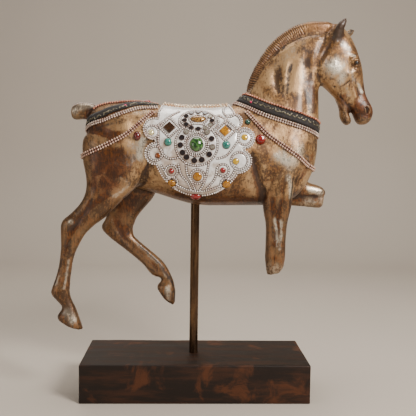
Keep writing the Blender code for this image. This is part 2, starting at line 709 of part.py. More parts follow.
def seat(tree, middle, outward, half_width, half_height):
    """The frame on which a stone rests: clear of the surface, its third axis pointing outward."""
    upright = Vector((0, 1, 0)) if outward.z else Vector((0, 0, 1))
    right = upright.cross(outward)
    rings = []
    for share in SEAT_RINGS:
        ring = []
        for number in range(SEAT_RAYS):
            angle = 2 * math.pi * number / SEAT_RAYS
            reach = right * half_width * math.cos(angle) + upright * half_height * math.sin(angle)
            ring.append(tree.ray_cast(middle + outward * CUT_REACH + reach * share, -outward)[0])
        rings.append(ring)
    points = [point for ring in rings for point in ring if point]
    centre = sum(points, Vector()) / len(points)
    normal = Vector()
    quarter = SEAT_RAYS // 4
    for first, second in zip(rings[0], rings[0][quarter:] + rings[0][:quarter]):
        if first and second:
            normal += (first - centre).cross(second - centre)
    if normal.dot(outward) < 0:
        normal = -normal
    normal.normalize()
    highest = max((point - centre).dot(normal) for point in points)
    right = upright.cross(normal).normalized()
    turn = Matrix((right, normal.cross(right), normal)).transposed().to_4x4()
    return Matrix.Translation(centre + normal * (highest + CLEARANCE)) @ turn


def stone_mesh(name, shape, width, height, rise, sides):
    """A stone with a flat back at z = 0: a dome, a square plate set on its corner, or a cut stone."""
    bm = bmesh.new()
    if shape == "dome":
        rings = 8 if sides > 12 else 6 if sides > 8 else 4
        bmesh.ops.create_uvsphere(bm, u_segments=sides, v_segments=rings, radius=1)
        everything = bm.verts[:] + bm.edges[:] + bm.faces[:]
        bmesh.ops.bisect_plane(bm, geom=everything, plane_co=(0, 0, 0), plane_no=(0, 0, -1), clear_outer=True)
        bmesh.ops.holes_fill(bm, edges=[edge for edge in bm.edges if edge.is_boundary])
    else:
        top = PLATE_TOP if shape == "square" else CUT_STONE_TOP
        lift = Matrix.Translation((0, 0, 0.5))
        bmesh.ops.create_cone(bm, cap_ends=True, segments=sides, radius1=1, radius2=top, depth=1, matrix=lift)
    bmesh.ops.scale(bm, vec=(width / 2, height / 2, rise), verts=bm.verts)
    bmesh.ops.recalc_face_normals(bm, faces=bm.faces)
    return mesh_of(bm, name)


def make_stone(name, tree, design, colour, outward, parts):
    """One stone, resting on whatever lies under it."""
    shape, (x, z), width, height, rise, sides = design
    middle = place(x, z)
    mesh = stone_mesh(name, shape, width, height, rise, sides)
    if shape == "dome":
        mesh.shade_smooth()
    stone = add_object(name, mesh, parts, colour)
    stone.matrix_world = seat(tree, middle, outward, width / 2, height / 2)


def make_stones(surfaces, parts):
    """The stones of both sides and the one on top of the croup."""
    tree = surface_tree([evaluated_mesh(obj) for obj in surfaces])
    for name, design in STONES.items():
        colour = STONE_COLOURS.get(name, "amber_glass")
        for side_name, side in SIDES.items():
            make_stone(f"{name}_{side_name}", tree, design, colour, Vector((0, side, 0)), parts)
    make_stone("croup_stone", tree, CROUP_STONE, "red_glass", Vector((0, 0, 1)), parts)


def make_base(parts, cutters):
    """The wooden block, with a blind hole for the rod."""
    bm = bmesh.new()
    bmesh.ops.create_cube(bm, size=1)
    bmesh.ops.scale(bm, vec=(BASE_LENGTH, BASE_DEPTH, BASE_HEIGHT), verts=bm.verts)
    base = add_object("base", mesh_of(bm, "base"), parts, "espresso_wood")
    base.location = (0, 0, BASE_HEIGHT / 2)
    eased = base.modifiers.new("Eased edges", "BEVEL")
    eased.width = BASE_EDGE
    eased.segments = 2
    depth = ROD_IN_BASE + CLEARANCE
    hole = rod_solid("rod_hole", BASE_HEIGHT - depth, BASE_HEIGHT + depth, CLEARANCE, cutters)
    boolean(base, hole, "DIFFERENCE")


def rod_solid(name, bottom, top, extra, collection, material_name=None):
    """A cylinder on the rod's axis, between two heights, wider than the rod by a clearance all round."""
    bm = bmesh.new()
    radius = ROD_DIAMETER / 2 + extra
    bmesh.ops.create_cone(bm, cap_ends=True, segments=ROD_SIDES, radius1=radius, radius2=radius, depth=top - bottom)
    obj = add_object(name, mesh_of(bm, name), collection, material_name)
    obj.location = (ROD_X, 0, (top + bottom) / 2)
    return obj


def make_horse(figure, parts, cutters):
    """The cast figure, with the socket that the rod stands in."""
    horse = add_object("horse", figure, parts, "champagne_leaf")
    entry = BASE_HEIGHT + ROD_SHOWN
    top = entry + ROD_IN_FIGURE + CLEARANCE
    boolean(horse, rod_solid("rod_socket", entry - ROD_IN_FIGURE, top, CLEARANCE, cutters), "DIFFERENCE")
    return horse


def main():
    clear_scene()
    parts = new_collection("horse_statue")
    cutters = new_collection("cutters", hidden=True)
    make_base(parts, cutters)
    top = BASE_HEIGHT + ROD_SHOWN + ROD_IN_FIGURE
    rod = rod_solid("rod", BASE_HEIGHT - ROD_IN_BASE, top, 0, parts, "dark_bronze")
    rod.data.shade_smooth()
    rod.data.set_sharp_from_angle(angle=math.radians(40))
    figure, skin = figure_mesh(cutters)
    horse = make_horse(figure.copy(), parts, cutters)
    saddle = make_saddle(figure, parts, cutters)
    harness = make_harness(skin, parts)
    make_stones([horse, saddle, *harness], parts)


main()
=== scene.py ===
# %% [markdown]
# # A horse on a rod, in gold leaf and jewels
#
# The statue is a cast horse in antique gold leaf. A slim bronze rod carries it over a dark wooden block,
# and it wears a saddle cloth of embossed silver sheet, set with coloured glass, and a beaded harness.
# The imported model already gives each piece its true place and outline. These cells load it as a fixed
# frame, build the finer forms over it, and give every surface its finish.

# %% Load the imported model
import math

import bmesh
import bpy
import numpy as np
from mathutils import Matrix, Vector, noise
from mathutils.bvhtree import BVHTree
from mathutils.kdtree import KDTree


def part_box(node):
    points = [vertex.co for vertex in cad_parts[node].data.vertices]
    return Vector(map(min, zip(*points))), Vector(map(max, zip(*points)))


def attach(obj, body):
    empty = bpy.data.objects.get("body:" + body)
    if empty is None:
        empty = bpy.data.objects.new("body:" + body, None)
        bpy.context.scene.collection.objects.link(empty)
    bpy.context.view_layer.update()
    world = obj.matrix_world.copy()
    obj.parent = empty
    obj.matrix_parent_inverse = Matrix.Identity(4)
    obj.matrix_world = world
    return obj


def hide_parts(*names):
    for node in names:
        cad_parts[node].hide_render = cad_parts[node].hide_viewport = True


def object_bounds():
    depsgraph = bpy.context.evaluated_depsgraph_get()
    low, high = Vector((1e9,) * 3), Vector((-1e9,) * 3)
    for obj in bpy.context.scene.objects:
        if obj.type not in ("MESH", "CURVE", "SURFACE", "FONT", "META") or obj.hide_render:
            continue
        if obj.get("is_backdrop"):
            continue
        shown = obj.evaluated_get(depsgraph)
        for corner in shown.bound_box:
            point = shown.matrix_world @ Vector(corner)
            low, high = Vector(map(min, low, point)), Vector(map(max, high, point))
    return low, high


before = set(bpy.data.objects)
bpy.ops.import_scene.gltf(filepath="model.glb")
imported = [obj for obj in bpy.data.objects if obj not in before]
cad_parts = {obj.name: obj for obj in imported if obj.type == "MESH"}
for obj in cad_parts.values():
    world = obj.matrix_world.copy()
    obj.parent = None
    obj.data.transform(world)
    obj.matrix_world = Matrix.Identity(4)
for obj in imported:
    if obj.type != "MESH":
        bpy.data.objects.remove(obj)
cad_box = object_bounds()
print("pieces in the frame:", len(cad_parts))
print("box:", [tuple(round(value, 4) for value in corner) for corner in cad_box])

# %% [markdown]
# ## Words for sizes and sides
#
# The tables below are written in millimetres, because that is how a maker measures such a piece. One
# function turns a table's point into a point of the scene. The horse faces +X, and the side that the
# camera sees is the near one, towards -Y.

# %% Millimetres and sides
MM = 0.001
NEAR = -1
FAR = 1
BOTH = (NEAR, FAR)


def spot_at(x, z, y=0.0):
    """A point given in millimetres along the horse, up, and across it."""
    return Vector((x * MM, y * MM, z * MM))


rod_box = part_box("rod")
base_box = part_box("base")
ROD_X = (rod_box[0].x + rod_box[1].x) / 2
ROD_RADIUS = (rod_box[1].x - rod_box[0].x) / 2
print("rod radius in mm:", round(ROD_RADIUS / MM, 2))

# %% [markdown]
# ## Recipes for finishes
#
# A finish is a small network of shader nodes. Writing the network as sums and products keeps it
# readable, so one class stands for a value on its way through the network. When two such values are added
# or multiplied, the class adds the Math node that does it. All other nodes come from one method.

# %% Shader values as Python sums
class Flow:
    """A value on its way through a finish's network of nodes."""

    def __init__(self, finish, socket):
        self.finish = finish
        self.socket = socket

    def __add__(self, other):
        return self.finish.maths("ADD", self, other)

    def __sub__(self, other):
        return self.finish.maths("SUBTRACT", self, other)

    def __rsub__(self, other):
        return self.finish.maths("SUBTRACT", other, self)

    def __mul__(self, other):
        return self.finish.maths("MULTIPLY", self, other)

    __radd__ = __add__
    __rmul__ = __mul__


class Finish:
    """A material while it is being written."""

    def __init__(self, name, **constants):
        self.material = bpy.data.materials.new(name)
        self.material.use_nodes = True
        self.tree = self.material.node_tree
        self.shader = self.tree.nodes["Principled BSDF"]
        self.give(constants)

    def feed(self, socket, value):
        if isinstance(value, Flow):
            self.tree.links.new(value.socket, socket)
        else:
            socket.default_value = value

    def give(self, values):
        """Sets sockets of the surface shader, written with _ for a space."""
        for name, value in values.items():
            self.feed(self.shader.inputs[name.replace("_", " ")], value)

    def node(self, kind, settings, sockets, output=0):
        """Any node: its settings first, then the values or links of its sockets."""
        made = self.tree.nodes.new("ShaderNode" + kind)
        for name, value in settings.items():
            setattr(made, name, value)
        for name, value in sockets.items():
            self.feed(made.inputs[name], value)
        return Flow(self, made.outputs[output])

    def maths(self, operation, first, second):
        return self.node("Math", {"operation": operation}, {0: first, 1: second})

    def mix(self, share, first, second):
        """Goes from the first colour to the second as the share goes from 0 to 1."""
        return self.node("Mix", {"data_type": "RGBA"}, {0: share, 6: first, 7: second}, output=2)

    def fade(self, value, start, end):
        """0 where the value is at the start, 1 at the end, and a soft step between."""
        settings = {"interpolation_type": "SMOOTHSTEP"}
        return self.node("MapRange", settings, {"Value": value, "From Min": start, "From Max": end})

    def attribute(self, name):
        return self.node("Attribute", {"attribute_name": name}, {}, output=2)

    def points(self, stretch=(1, 1, 1), turn=(0, 0, 0)):
        """Object coordinates, turned and stretched for a pattern with a direction."""
        place = self.node("TexCoord", {}, {}, output=3)
        return self.node("Mapping", {}, {"Vector": place, "Rotation": turn, "Scale": stretch})

    def place(self, axis):
        """How far along one axis a point of the piece lies, in metres."""
        return self.node("SeparateXYZ", {}, {"Vector": self.points()}, output=axis)

    def cloud(self, size, detail=3.0, roughness=0.55, points=None, distortion=0.0):
        """Noise between 0 and 1 whose blots are about this size, in metres."""
        sockets = {
            "Vector": points or self.points(),
            "Scale": 1 / size,
            "Detail": detail,
            "Roughness": roughness,
            "Distortion": distortion,
        }
        return self.node("TexNoise", {}, sockets)

    def bump(self, height, depth):
        """Raises the surface by a height between 0 and 1, as deep as this in metres."""
        return self.node("Bump", {}, {"Strength": 1.0, "Distance": depth, "Height": height})


def tone(red, green, blue):
    """A colour as a paint card gives it, from 0 to 255, in the scene's own scale."""
    parts = []
    for part in (red, green, blue):
        share = part / 255
        parts.append(share / 12.92 if share <= 0.04045 else ((share + 0.055) / 1.055) ** 2.4)
    return (*parts, 1.0)


print("a mid gold in the scene's scale:", [round(part, 3) for part in tone(176, 140, 96)])

# %% [markdown]
# ## Putting a piece in the scene
#
# Each finished bmesh becomes one object at the origin, with its place in its mesh. It rides on the
# statue's only body, and it may stand for pieces of the frame that it is finer than.

# %% One way to finish every piece
SHARP = math.radians(38)


def as_mesh(bm, name):
    """A bmesh's shape as a mesh of this name; the bmesh is freed."""
    mesh = bpy.data.meshes.new(name)
    bm.to_mesh(mesh)
    bm.free()
    return mesh


def add_piece(name, bm, finish, replaced=(), sharp=False):
    """Makes a piece of the statue from a bmesh."""
    dress(name, as_mesh(bm, name), finish, replaced, sharp)


def dress(name, mesh, finish, replaced=(), sharp=False):
    """Makes a piece of the statue from a mesh."""
    mesh.materials.clear()
    mesh.materials.append(finish.material)
    mesh.shade_smooth()
    if sharp:
        mesh.set_sharp_from_angle(angle=SHARP)
    piece = bpy.data.objects.new(name, mesh)
    bpy.context.scene.collection.objects.link(piece)
    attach(piece, "root")
    if replaced:
        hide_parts(*replaced)
    print(name, len(mesh.polygons), "faces")


def both_sides(name):
    """The names of a piece's near and far copies."""
    return [f"{name}_near", f"{name}_far"]


def thicken(bm, thickness):
    """Gives an open sheet a back face this far behind it, and closes its edges."""
    bm.normal_update()
    behind = [vert.co - vert.normal * thickness for vert in bm.verts]
    made = bmesh.ops.extrude_face_region(bm, geom=bm.faces[:], use_keep_orig=True)
    copies = {part for part in made["geom"] if isinstance(part, bmesh.types.BMVert)}
    kept = [vert for vert in bm.verts if vert not in copies]
    for vert, place in zip(kept, behind):
        vert.co = place
    bmesh.ops.recalc_face_normals(bm, faces=bm.faces)


# %% [markdown]
# ## The horse's skin
#
# The frame's horse has a few thousand flat facets. A copy of it is merged into one skin and rebuilt in
# even small squares by a voxel remesh, which also gives every later step the same small faces to work
# on. The rod's socket is closed first, since the rod fills it.

# %% Rebuild the horse in small squares
GRAIN = 0.0019
SOCKET_REACH = ROD_RADIUS + 0.0008
SOCKET_TOP = rod_box[1].z + 0.002
WELD = 1e-6


def merged_copy(name):
    """The frame's loose triangles as one skin."""
    bm = bmesh.new()
    bm.from_mesh(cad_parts[name].data)
    bmesh.ops.remove_doubles(bm, verts=bm.verts, dist=WELD)
    return bm


def remeshed(bm, grain):
    """The skin rebuilt in even squares of this size."""
    holder = bpy.data.objects.new("skin", as_mesh(bm, "skin"))
    bpy.context.scene.collection.objects.link(holder)
    rebuild = holder.modifiers.new("Rebuild", "REMESH")
    rebuild.mode = "VOXEL"
    rebuild.voxel_size = grain
    bpy.context.view_layer.update()
    graph = bpy.context.evaluated_depsgraph_get()
    rebuilt = bpy.data.meshes.new_from_object(holder.evaluated_get(graph))
    bpy.data.objects.remove(holder)
    return rebuilt


def in_socket(place):
    """Whether a point belongs to the wall of the rod's hole."""
    return math.hypot(place.x - ROD_X, place.y) < SOCKET_REACH and place.z < SOCKET_TOP


horse_bm = merged_copy("horse")
bmesh.ops.delete(horse_bm, geom=[vert for vert in horse_bm.verts if in_socket(vert.co)], context="VERTS")
bmesh.ops.holes_fill(horse_bm, edges=[edge for edge in horse_bm.edges if edge.is_boundary])
horse_mesh = remeshed(horse_bm, GRAIN)
print("squares in the horse:", len(horse_mesh.polygons))

# %% [markdown]
# ## Smoothing without shrinking
#
# Moving every point towards its neighbours melts the facets, but it also thins the ears and the legs. So
# each round moves the points in and then a little further out again. Only the short waves, which are the
# facets, are lost.

# %% Melt the facets
INWARD = 0.5
OUTWARD = -0.52
MELTING_ROUNDS = 26


def places_of(mesh, name="co"):
    """The places or normals of a mesh's points, as an array."""
    values = np.empty(len(mesh.vertices) * 3)
    mesh.vertices.foreach_get(name, values)
    return values.reshape(-1, 3)


def set_places(mesh, places):
    mesh.vertices.foreach_set("co", places.ravel())
    mesh.update()


def edge_ends(mesh):
    """The two points of each edge, and how many edges meet at each point."""
    ends = np.empty(len(mesh.edges) * 2, dtype=np.int32)
    mesh.edges.foreach_get("vertices", ends)
    links = np.maximum(np.bincount(ends, minlength=len(mesh.vertices)), 1)
    return ends.reshape(-1, 2), links


def neighbour_means(places, ends, links):
    """The mean place of each point's neighbours."""
    means = []
    for values in places.T:
        total = np.bincount(ends[:, 0], values[ends[:, 1]], len(values))
        total += np.bincount(ends[:, 1], values[ends[:, 0]], len(values))
        means.append(total / links)
    return np.stack(means, axis=1)


def relax(mesh, rounds):
    """Rounds of smoothing that keep the form's volume."""
    places = places_of(mesh)
    ends, links = edge_ends(mesh)
    for _ in range(rounds):
        for share in (INWARD, OUTWARD):
            places += share * (neighbour_means(places, ends, links) - places)
    set_places(mesh, places)


relax(horse_mesh, MELTING_ROUNDS)
print("rounds of smoothing:", MELTING_ROUNDS)

# %% [markdown]
# ## Smaller faces where the carving is fine
#
# The mesh has one size of face so far, and the lids of the eye are narrower than two of them. The faces of
# the head and the mane are cut in half both ways, and those round the eye and the nostril once more. A
# short smoothing after each cut takes the flat look off the new points.

# %% Refine the head and the mane
HEAD_BACK = 0.134
HEAD_FOOT = 0.325
MANE_BACK = 0.050
MANE_HALF_WIDTH = 0.0085
MANE_LOWEST = 0.360
MANE_FOOT = (0.060, 0.366)
MANE_SLOPE = 0.62
EYE_AND_NOSTRIL = ((187, 401, 13), (203, 347, 9))
FINE_SPOTS = [spot_at(x, z, side * y) for x, z, y in EYE_AND_NOSTRIL for side in BOTH]
FINE_REACH = 0.0095


def in_head(place):
    head = place.x > HEAD_BACK and place.z > HEAD_FOOT
    mane_foot = max(MANE_FOOT[1] + MANE_SLOPE * (place.x - MANE_FOOT[0]), MANE_LOWEST)
    return head or (place.x > MANE_BACK and abs(place.y) < MANE_HALF_WIDTH and place.z > mane_foot)


def in_fine_spot(place):
    return any((place - spot).length < FINE_REACH for spot in FINE_SPOTS)


def halve_faces(mesh, chosen):
    """Cuts the faces in half both ways where the test says so."""
    bm = bmesh.new()
    bm.from_mesh(mesh)
    edges = [edge for edge in bm.edges if all(chosen(vert.co) for vert in edge.verts)]
    bmesh.ops.subdivide_edges(bm, edges=edges, cuts=1, use_grid_fill=True)
    bmesh.ops.triangulate(bm, faces=[face for face in bm.faces if len(face.verts) > 4])
    bm.to_mesh(mesh)
    bm.free()


halve_faces(horse_mesh, in_head)
relax(horse_mesh, 4)
halve_faces(horse_mesh, in_fine_spot)
relax(horse_mesh, 2)
print("faces in the horse after refining:", len(horse_mesh.polygons))

# %% [markdown]
# ## Carving the skin
#
# Every crease, fold and raised line on the figure is a short line of points, given in the side view. A ray
# from the side finds where each point lies on the skin. The skin near the line then sinks by a depth, or
# rises where the depth is negative, and the change fades out over the line's reach. A stroke is written as
# (reach, depth, points). The same strokes with paint in place of a depth give the antique finish its bright
# and dark parts later on.

# %% Strokes laid on the skin
RAY_START = 90
FADE_ENDS = 2.2
TURNED_AWAY = -0.35


def tree_of(mesh):
    """A search tree of a mesh, which finds its nearest points."""
    bm = bmesh.new()
    bm.from_mesh(mesh)
    tree = BVHTree.FromBMesh(bm)
    bm.free()
    return tree


def on_side(tree, x, z, side):
    """The skin's point and outward direction, seen from one side at this place."""
    spot, outward = tree.ray_cast(spot_at(x, z, side * RAY_START), Vector((0, -side, 0)))[:2]
    if spot is None:
        spot, outward = tree.find_nearest(spot_at(x, z, side * 4))[:2]
    return spot, outward


def laid(tree, line, side):
    """A line of the side view, laid on the skin of one side."""
    return np.array([on_side(tree, x, z, side)[0] for x, z in line])


def nearness(places, line, reach):
    """1 on a line of points, fading to 0 beside it."""
    inside = (places > line.min(0) - FADE_ENDS * reach) & (places < line.max(0) + FADE_ENDS * reach)
    chosen = np.flatnonzero(inside.all(1))
    found = np.full(len(chosen), np.inf)
    spots = places[chosen]
    for start, end in zip(line, np.vstack([line[1:], line[-1:]])):
        run = end - start
        along = np.clip((spots - start) @ run / max(run @ run, 1e-12), 0, 1)
        found = np.minimum(found, np.linalg.norm(spots - start - along[:, None] * run, axis=1))
    close = np.zeros(len(places))
    close[chosen] = np.exp(-((found / reach) ** 2))
    return close


def on_both_sides(strokes):
    """The strokes of a table, each for the near side and the far one."""
    return [(BOTH, *stroke) for stroke in strokes]


def carve(mesh, strokes):
    """Sinks or raises the skin along strokes of (sides, reach, depth, points)."""
    tree = tree_of(mesh)
    places = places_of(mesh)
    normals = places_of(mesh, "normal")
    for sides, reach, depth, line in strokes:
        for side in sides:
            close = nearness(places, laid(tree, line, side), reach * MM)
            close *= normals[:, 1] * side > TURNED_AWAY
            places -= normals * (depth * MM * close)[:, None]
    set_places(mesh, places)


print("a stroke fades out over", FADE_ENDS, "times its reach")

# %% [markdown]
# ## The creases
#
# Hollows show where the haunch, the shoulder, the neck and the jaw meet the rest, and ridges stand beside
# them. Each line below is a stroke of the side view: its reach, its depth and its points, where a depth
# below zero raises a ridge. Both sides of the horse get the same strokes.

# %% Carve the creases
CREASES = (
    (2.2, 1.0, ((-57, 284), (-60, 272), (-66, 259), (-75, 248), (-86, 238), (-97, 226))),
    (2.2, 0.9, ((62, 290), (64, 282), (68, 270), (74, 256), (78, 248))),
    (4.6, 0.9, ((112, 398), (107, 386), (105, 374), (104, 362))),
    (3.8, 0.6, ((97, 393), (96, 379), (99, 364))),
    (3.6, -0.5, ((103, 398), (101, 382), (102, 366))),
    (5.0, 0.7, ((128, 410), (131, 396), (134, 380))),
    (2.0, 0.7, ((158, 428), (151, 417), (145, 407), (141, 398), (141, 389), (144, 379))),
    (2.2, -0.8, ((162, 424), (155, 413), (149, 404), (145, 395), (146, 386))),
    (1.9, 0.9, ((162, 373), (167, 372), (173, 375), (180, 380))),
    (2.6, -0.5, ((172, 384), (180, 388), (187, 392))),
    (1.3, 0.5, ((58, 366), (65, 381), (74, 396), (88, 411), (104, 422), (122, 431), (139, 435), (154, 435))),
    (
        1.0, -0.45,
        ((60, 362), (68, 378), (77, 392), (91, 407), (107, 418), (124, 427), (140, 431), (153, 431)),
    ),  # fmt: skip
    (2.4, 0.7, ((182, 392), (187, 382), (190, 372), (193, 364))),
    (2.4, -0.6, ((176, 389), (182, 379), (185, 369), (188, 362))),
    (1.5, 0.9, ((170, 361), (175, 357), (179, 352), (183, 348))),
    (1.4, -0.6, ((167, 357), (171, 353), (174, 348))),
    (1.6, 0.6, ((190, 346), (196, 341), (203, 339))),
    (2.4, 0.8, ((122, 262), (128, 272), (131, 284))),
    (2.6, 0.7, ((100, 262), (99, 246), (96, 226), (95, 206), (93, 186))),
    (2.2, -0.6, ((105, 262), (104, 244), (101, 222), (99, 202), (98, 184))),
    (2.0, 0.6, ((86, 246), (87, 226), (88, 204), (88, 184))),
    (2.6, 0.8, ((-124, 234), (-134, 216), (-142, 204), (-149, 196))),
    (1.8, 0.7, ((-150, 190), (-154, 172), (-158, 152), (-161, 138))),
    (1.8, -0.5, ((-147, 186), (-150, 168), (-153, 148), (-155, 132))),
    (1.8, 0.7, ((-97, 204), (-92, 188), (-76, 173), (-58, 158), (-48, 146))),
    (1.8, -0.5, ((-83, 196), (-80, 186), (-66, 173), (-50, 158), (-40, 147))),
    (1.0, 0.5, ((-163, 101), (-152, 106), (-141, 103), (-136, 97))),
    (1.0, 0.5, ((-51, 122), (-43, 128), (-33, 127), (-26, 122))),
    (1.6, 0.6, ((-147, 350), (-146, 340), (-146, 330))),
    (2.4, 1.1, ((160, 240), (150, 240), (138, 240), (128, 240))),
    (3.0, -0.8, ((-147, 210),)),
    (3.5, 0.8, ((-128, 222), (-118, 232), (-106, 240))),
)
carve(horse_mesh, on_both_sides(CREASES))
print("creases carved:", len(CREASES))

# %% [markdown]
# ## Eyes, nostrils and ears
#
# The eye is a polished ball between two lids, so its place swells and a narrow ring sinks round it.
# The nostril is a hollow with a raised rim. The ears are leaf shaped, with a deep groove on the side that
# they turn forward.

# %% Carve the small features of the head
EYE = (187.2, 401.2)
EYE_SIZE = (3.1, 2.3)
NOSTRIL = (203.2, 346.6)
LOOP_POINTS = 14


def loop_round(centre, size, turn=0.0):
    """Points of an ellipse in the side view, closed."""
    points = []
    for number in range(LOOP_POINTS + 1):
        angle = 2 * math.pi * number / LOOP_POINTS
        across = size[0] * math.cos(angle)
        up = size[1] * math.sin(angle)
        x = centre[0] + across * math.cos(turn) - up * math.sin(turn)
        z = centre[1] + across * math.sin(turn) + up * math.cos(turn)
        points.append((x, z))
    return tuple(points)


FEATURES = (
    (4.4, 0.9, (EYE,)),
    (2.6, -2.1, (EYE,)),
    (0.8, 0.9, loop_round(EYE, EYE_SIZE)),
    (1.1, -0.9, loop_round(EYE, (4.5, 3.6))[:8]),
    (1.1, -0.5, loop_round(EYE, (4.4, 3.5))[7:]),
    (1.8, -0.9, ((180, 408), (185, 410), (190, 409))),
    (1.6, 0.7, ((179, 404), (182, 399), (186, 396))),
    (1.7, 2.4, ((202, 349), (203.5, 346), (203, 343))),
    (1.1, -0.9, loop_round(NOSTRIL, (3.0, 4.4), turn=0.3)),
    (1.3, 0.6, ((207, 352), (209, 347), (208, 341))),
)
carve(horse_mesh, on_both_sides(FEATURES))
EAR_GROOVES = (
    ((NEAR,), 6.0, -1.9, ((162, 429), (165, 437), (168, 444))),
    ((FAR,), 5.5, -1.7, ((176, 433), (181, 439), (186, 444))),
    ((NEAR,), 1.7, 1.5, ((165, 434), (166.5, 440), (168.5, 446))),
    ((FAR,), 1.5, 1.2, ((178, 434), (182, 439), (186, 443))),
)
carve(horse_mesh, EAR_GROOVES)
print("features carved:", len(FEATURES) + len(EAR_GROOVES))

# %% [markdown]
# ## The roached mane
#
# The mane is cut short and stands up in a band, scored across like a comb. The score marks follow the
# crest, so each point of the band needs its distance along it. The marks wander a little, as if cut by
# hand, and die out at the forelock.

# %% Score the mane
CREST = (
    (52, 358), (58, 370), (64, 386), (72, 402), (82, 415), (94, 427), (108, 437), (124, 444),
    (140, 447), (155, 446),
)  # fmt: skip
SCORE_STEP = 2.5
SCORE_DEPTH = 0.95
MANE_REACH = 9.0
MANE_EDGE = 2
BAND_HALF_WIDTH = 8.2
SMOOTH_FORELOCK = 118
FORELOCK_FADE = 16


def score_mane(mesh):
    """Scores the mane, and returns its band and the depth of the scores at each point."""
    places = places_of(mesh)
    normals = places_of(mesh, "normal")
    line = np.array([(x * MM, z * MM) for x, z in CREST])
    flat = places[:, (0, 2)]
    best = np.full(len(places), np.inf)
    run_length = np.zeros(len(places))
    passed = 0.0
    for start, end in zip(line, line[1:]):
        run = end - start
        length = np.linalg.norm(run)
        along = np.clip((flat - start) @ run / (run @ run), 0, 1)
        gap = np.linalg.norm(flat - start - along[:, None] * run, axis=1)
        closer = gap < best
        best[closer] = gap[closer]
        run_length[closer] = passed + along[closer] * length
        passed += length
    band = np.clip((MANE_REACH * MM - best) / (MANE_EDGE * MM), 0, 1)
    band *= np.abs(places[:, 1]) < BAND_HALF_WIDTH * MM
    forelock = np.clip((places[:, 0] / MM - SMOOTH_FORELOCK) / FORELOCK_FADE, 0, 1)
    wander = 1.6 * np.sin(run_length / (7.1 * MM)) + 1.1 * np.sin(run_length / (2.9 * MM) + best / (3.0 * MM))
    wave = (0.5 - 0.5 * np.cos(2 * math.pi * run_length / (SCORE_STEP * MM) + wander)) ** 1.6
    wave *= 1 - 0.8 * forelock
    places -= normals * (band * wave * SCORE_DEPTH * MM)[:, None]
    set_places(mesh, places)
    return band, wave


mane_band, mane_wave = score_mane(horse_mesh)
print("points in the mane's band:", int((mane_band > 0).sum()))

# %% [markdown]
# ## The broken ends
#
# Both forelegs end in rough faces where they broke off. Coarse noise pushes the skin in there, and finer
# noise sharpens it. How broken each point is stays known, because the finish shows raw material there.
# Each break is (centre, reach, depth).

# %% Roughen the breaks
BREAKS = (
    (spot_at(93, 152, -24), 15.0, 1.6),
    (spot_at(158, 233, 24), 11.0, 1.1),
    (spot_at(140, 229, 24), 13.0, 0.6),
)
BREAK_GRAIN = 0.0042


def roughen(mesh):
    """Pushes the skin in at the breaks by noise, and returns how broken each point is."""
    places = places_of(mesh)
    normals = places_of(mesh, "normal")
    broken = np.zeros(len(places))
    for centre, reach, depth in BREAKS:
        away = np.linalg.norm(places - np.array(centre), axis=1)
        rough = np.clip(1.5 - away / (reach * MM), 0, 1)
        for number in np.flatnonzero(rough > 0):
            value = noise.noise(Vector(places[number]) / BREAK_GRAIN)
            sharp = abs(noise.noise(Vector(places[number]) / (BREAK_GRAIN * 0.45)))
            push = 0.45 + value * 0.5 + sharp * 0.7
            places[number] -= normals[number] * rough[number] * depth * MM * push
        broken = np.maximum(broken, rough)
    set_places(mesh, places)
    return broken


broken_ends = roughen(horse_mesh)
print("points on the breaks:", int((broken_ends > 0).sum()))

# %% [markdown]
# ## Painting the antique finish
#
# Real gilders rub a dark glaze into the hollows, wipe it off the high places and leave brush marks. Here
# three paints go on along strokes like those of the carving: silver, where the leaf is bright and where
# painted highlights stand for the sharp lights on the cheek, shoulder, hip, legs and tail; umber, where the
# glaze was left; and shade, which is painted shade in the creases, round the mouth and eye and along the
# shaded edges of the legs, with a few dark patina marks. Each stroke is (reach, strength, points).

# %% Write down the strokes of paint
# Silver: bright leaf, and painted highlights where the sharp lights fall.
SILVER_AND_HIGHLIGHTS = (
    (13.0, 0.95, ((160, 396),)),
    (7.0, 0.7, ((171, 386), (168, 380))),
    (4.5, 0.4, ((123, 403), (121, 385), (125, 368))),
    (8.0, 0.3, ((120, 421), (106, 411), (92, 396))),
    (10.0, 0.75, ((96, 288), (110, 280), (118, 296))),
    (3.6, 1.0, ((105, 266), (108, 256), (109, 243))),
    (2.2, 0.7, ((90, 216), (94, 200), (95, 184))),
    (2.2, 0.7, ((98, 214), (99, 197), (98, 180))),
    (6.5, 0.85, ((-64, 306), (-66, 296), (-66, 286))),
    (11.0, 0.35, ((-72, 300), (-76, 284))),
    (4.0, 0.9, ((-147, 210),)),
    (2.2, 0.75, ((-150, 164), (-155, 131))),
    (2.0, 0.55, ((-161, 146), (-166, 134))),
    (7.0, 0.8, ((-152, 103), (-146, 94))),
    (6.0, 0.95, ((-146, 341), (-136, 346), (-129, 347))),
    (4.5, 1.0, ((130, 252), (144, 249), (156, 245))),
    (2.0, 0.6, ((136, 234), (148, 233))),
    (7.0, 0.4, ((-71, 336), (-60, 339))),
    (3.0, 0.7, ((197, 368), (191, 377))),
    (3.0, 0.5, ((177, 371), (180, 364))),
    (4.5, 0.7, ((170, 422), (178, 417))),
    (2.4, 0.7, ((177, 412), (185, 409))),
    (1.6, 0.6, ((-82, 186), (-70, 173), (-57, 162), (-44, 150), (-37, 136))),
    (1.6, 0.35, ((-106, 208), (-96, 188), (-84, 175))),
    (3.0, 0.4, ((-88, 262), (-78, 254), (-96, 240))),
    (5.0, 0.6, ((-36, 122), (-34, 110))),
    (5.0, 0.35, ((122, 297), (130, 286))),
    (3.5, 0.45, ((182, 391), (185, 381))),
)
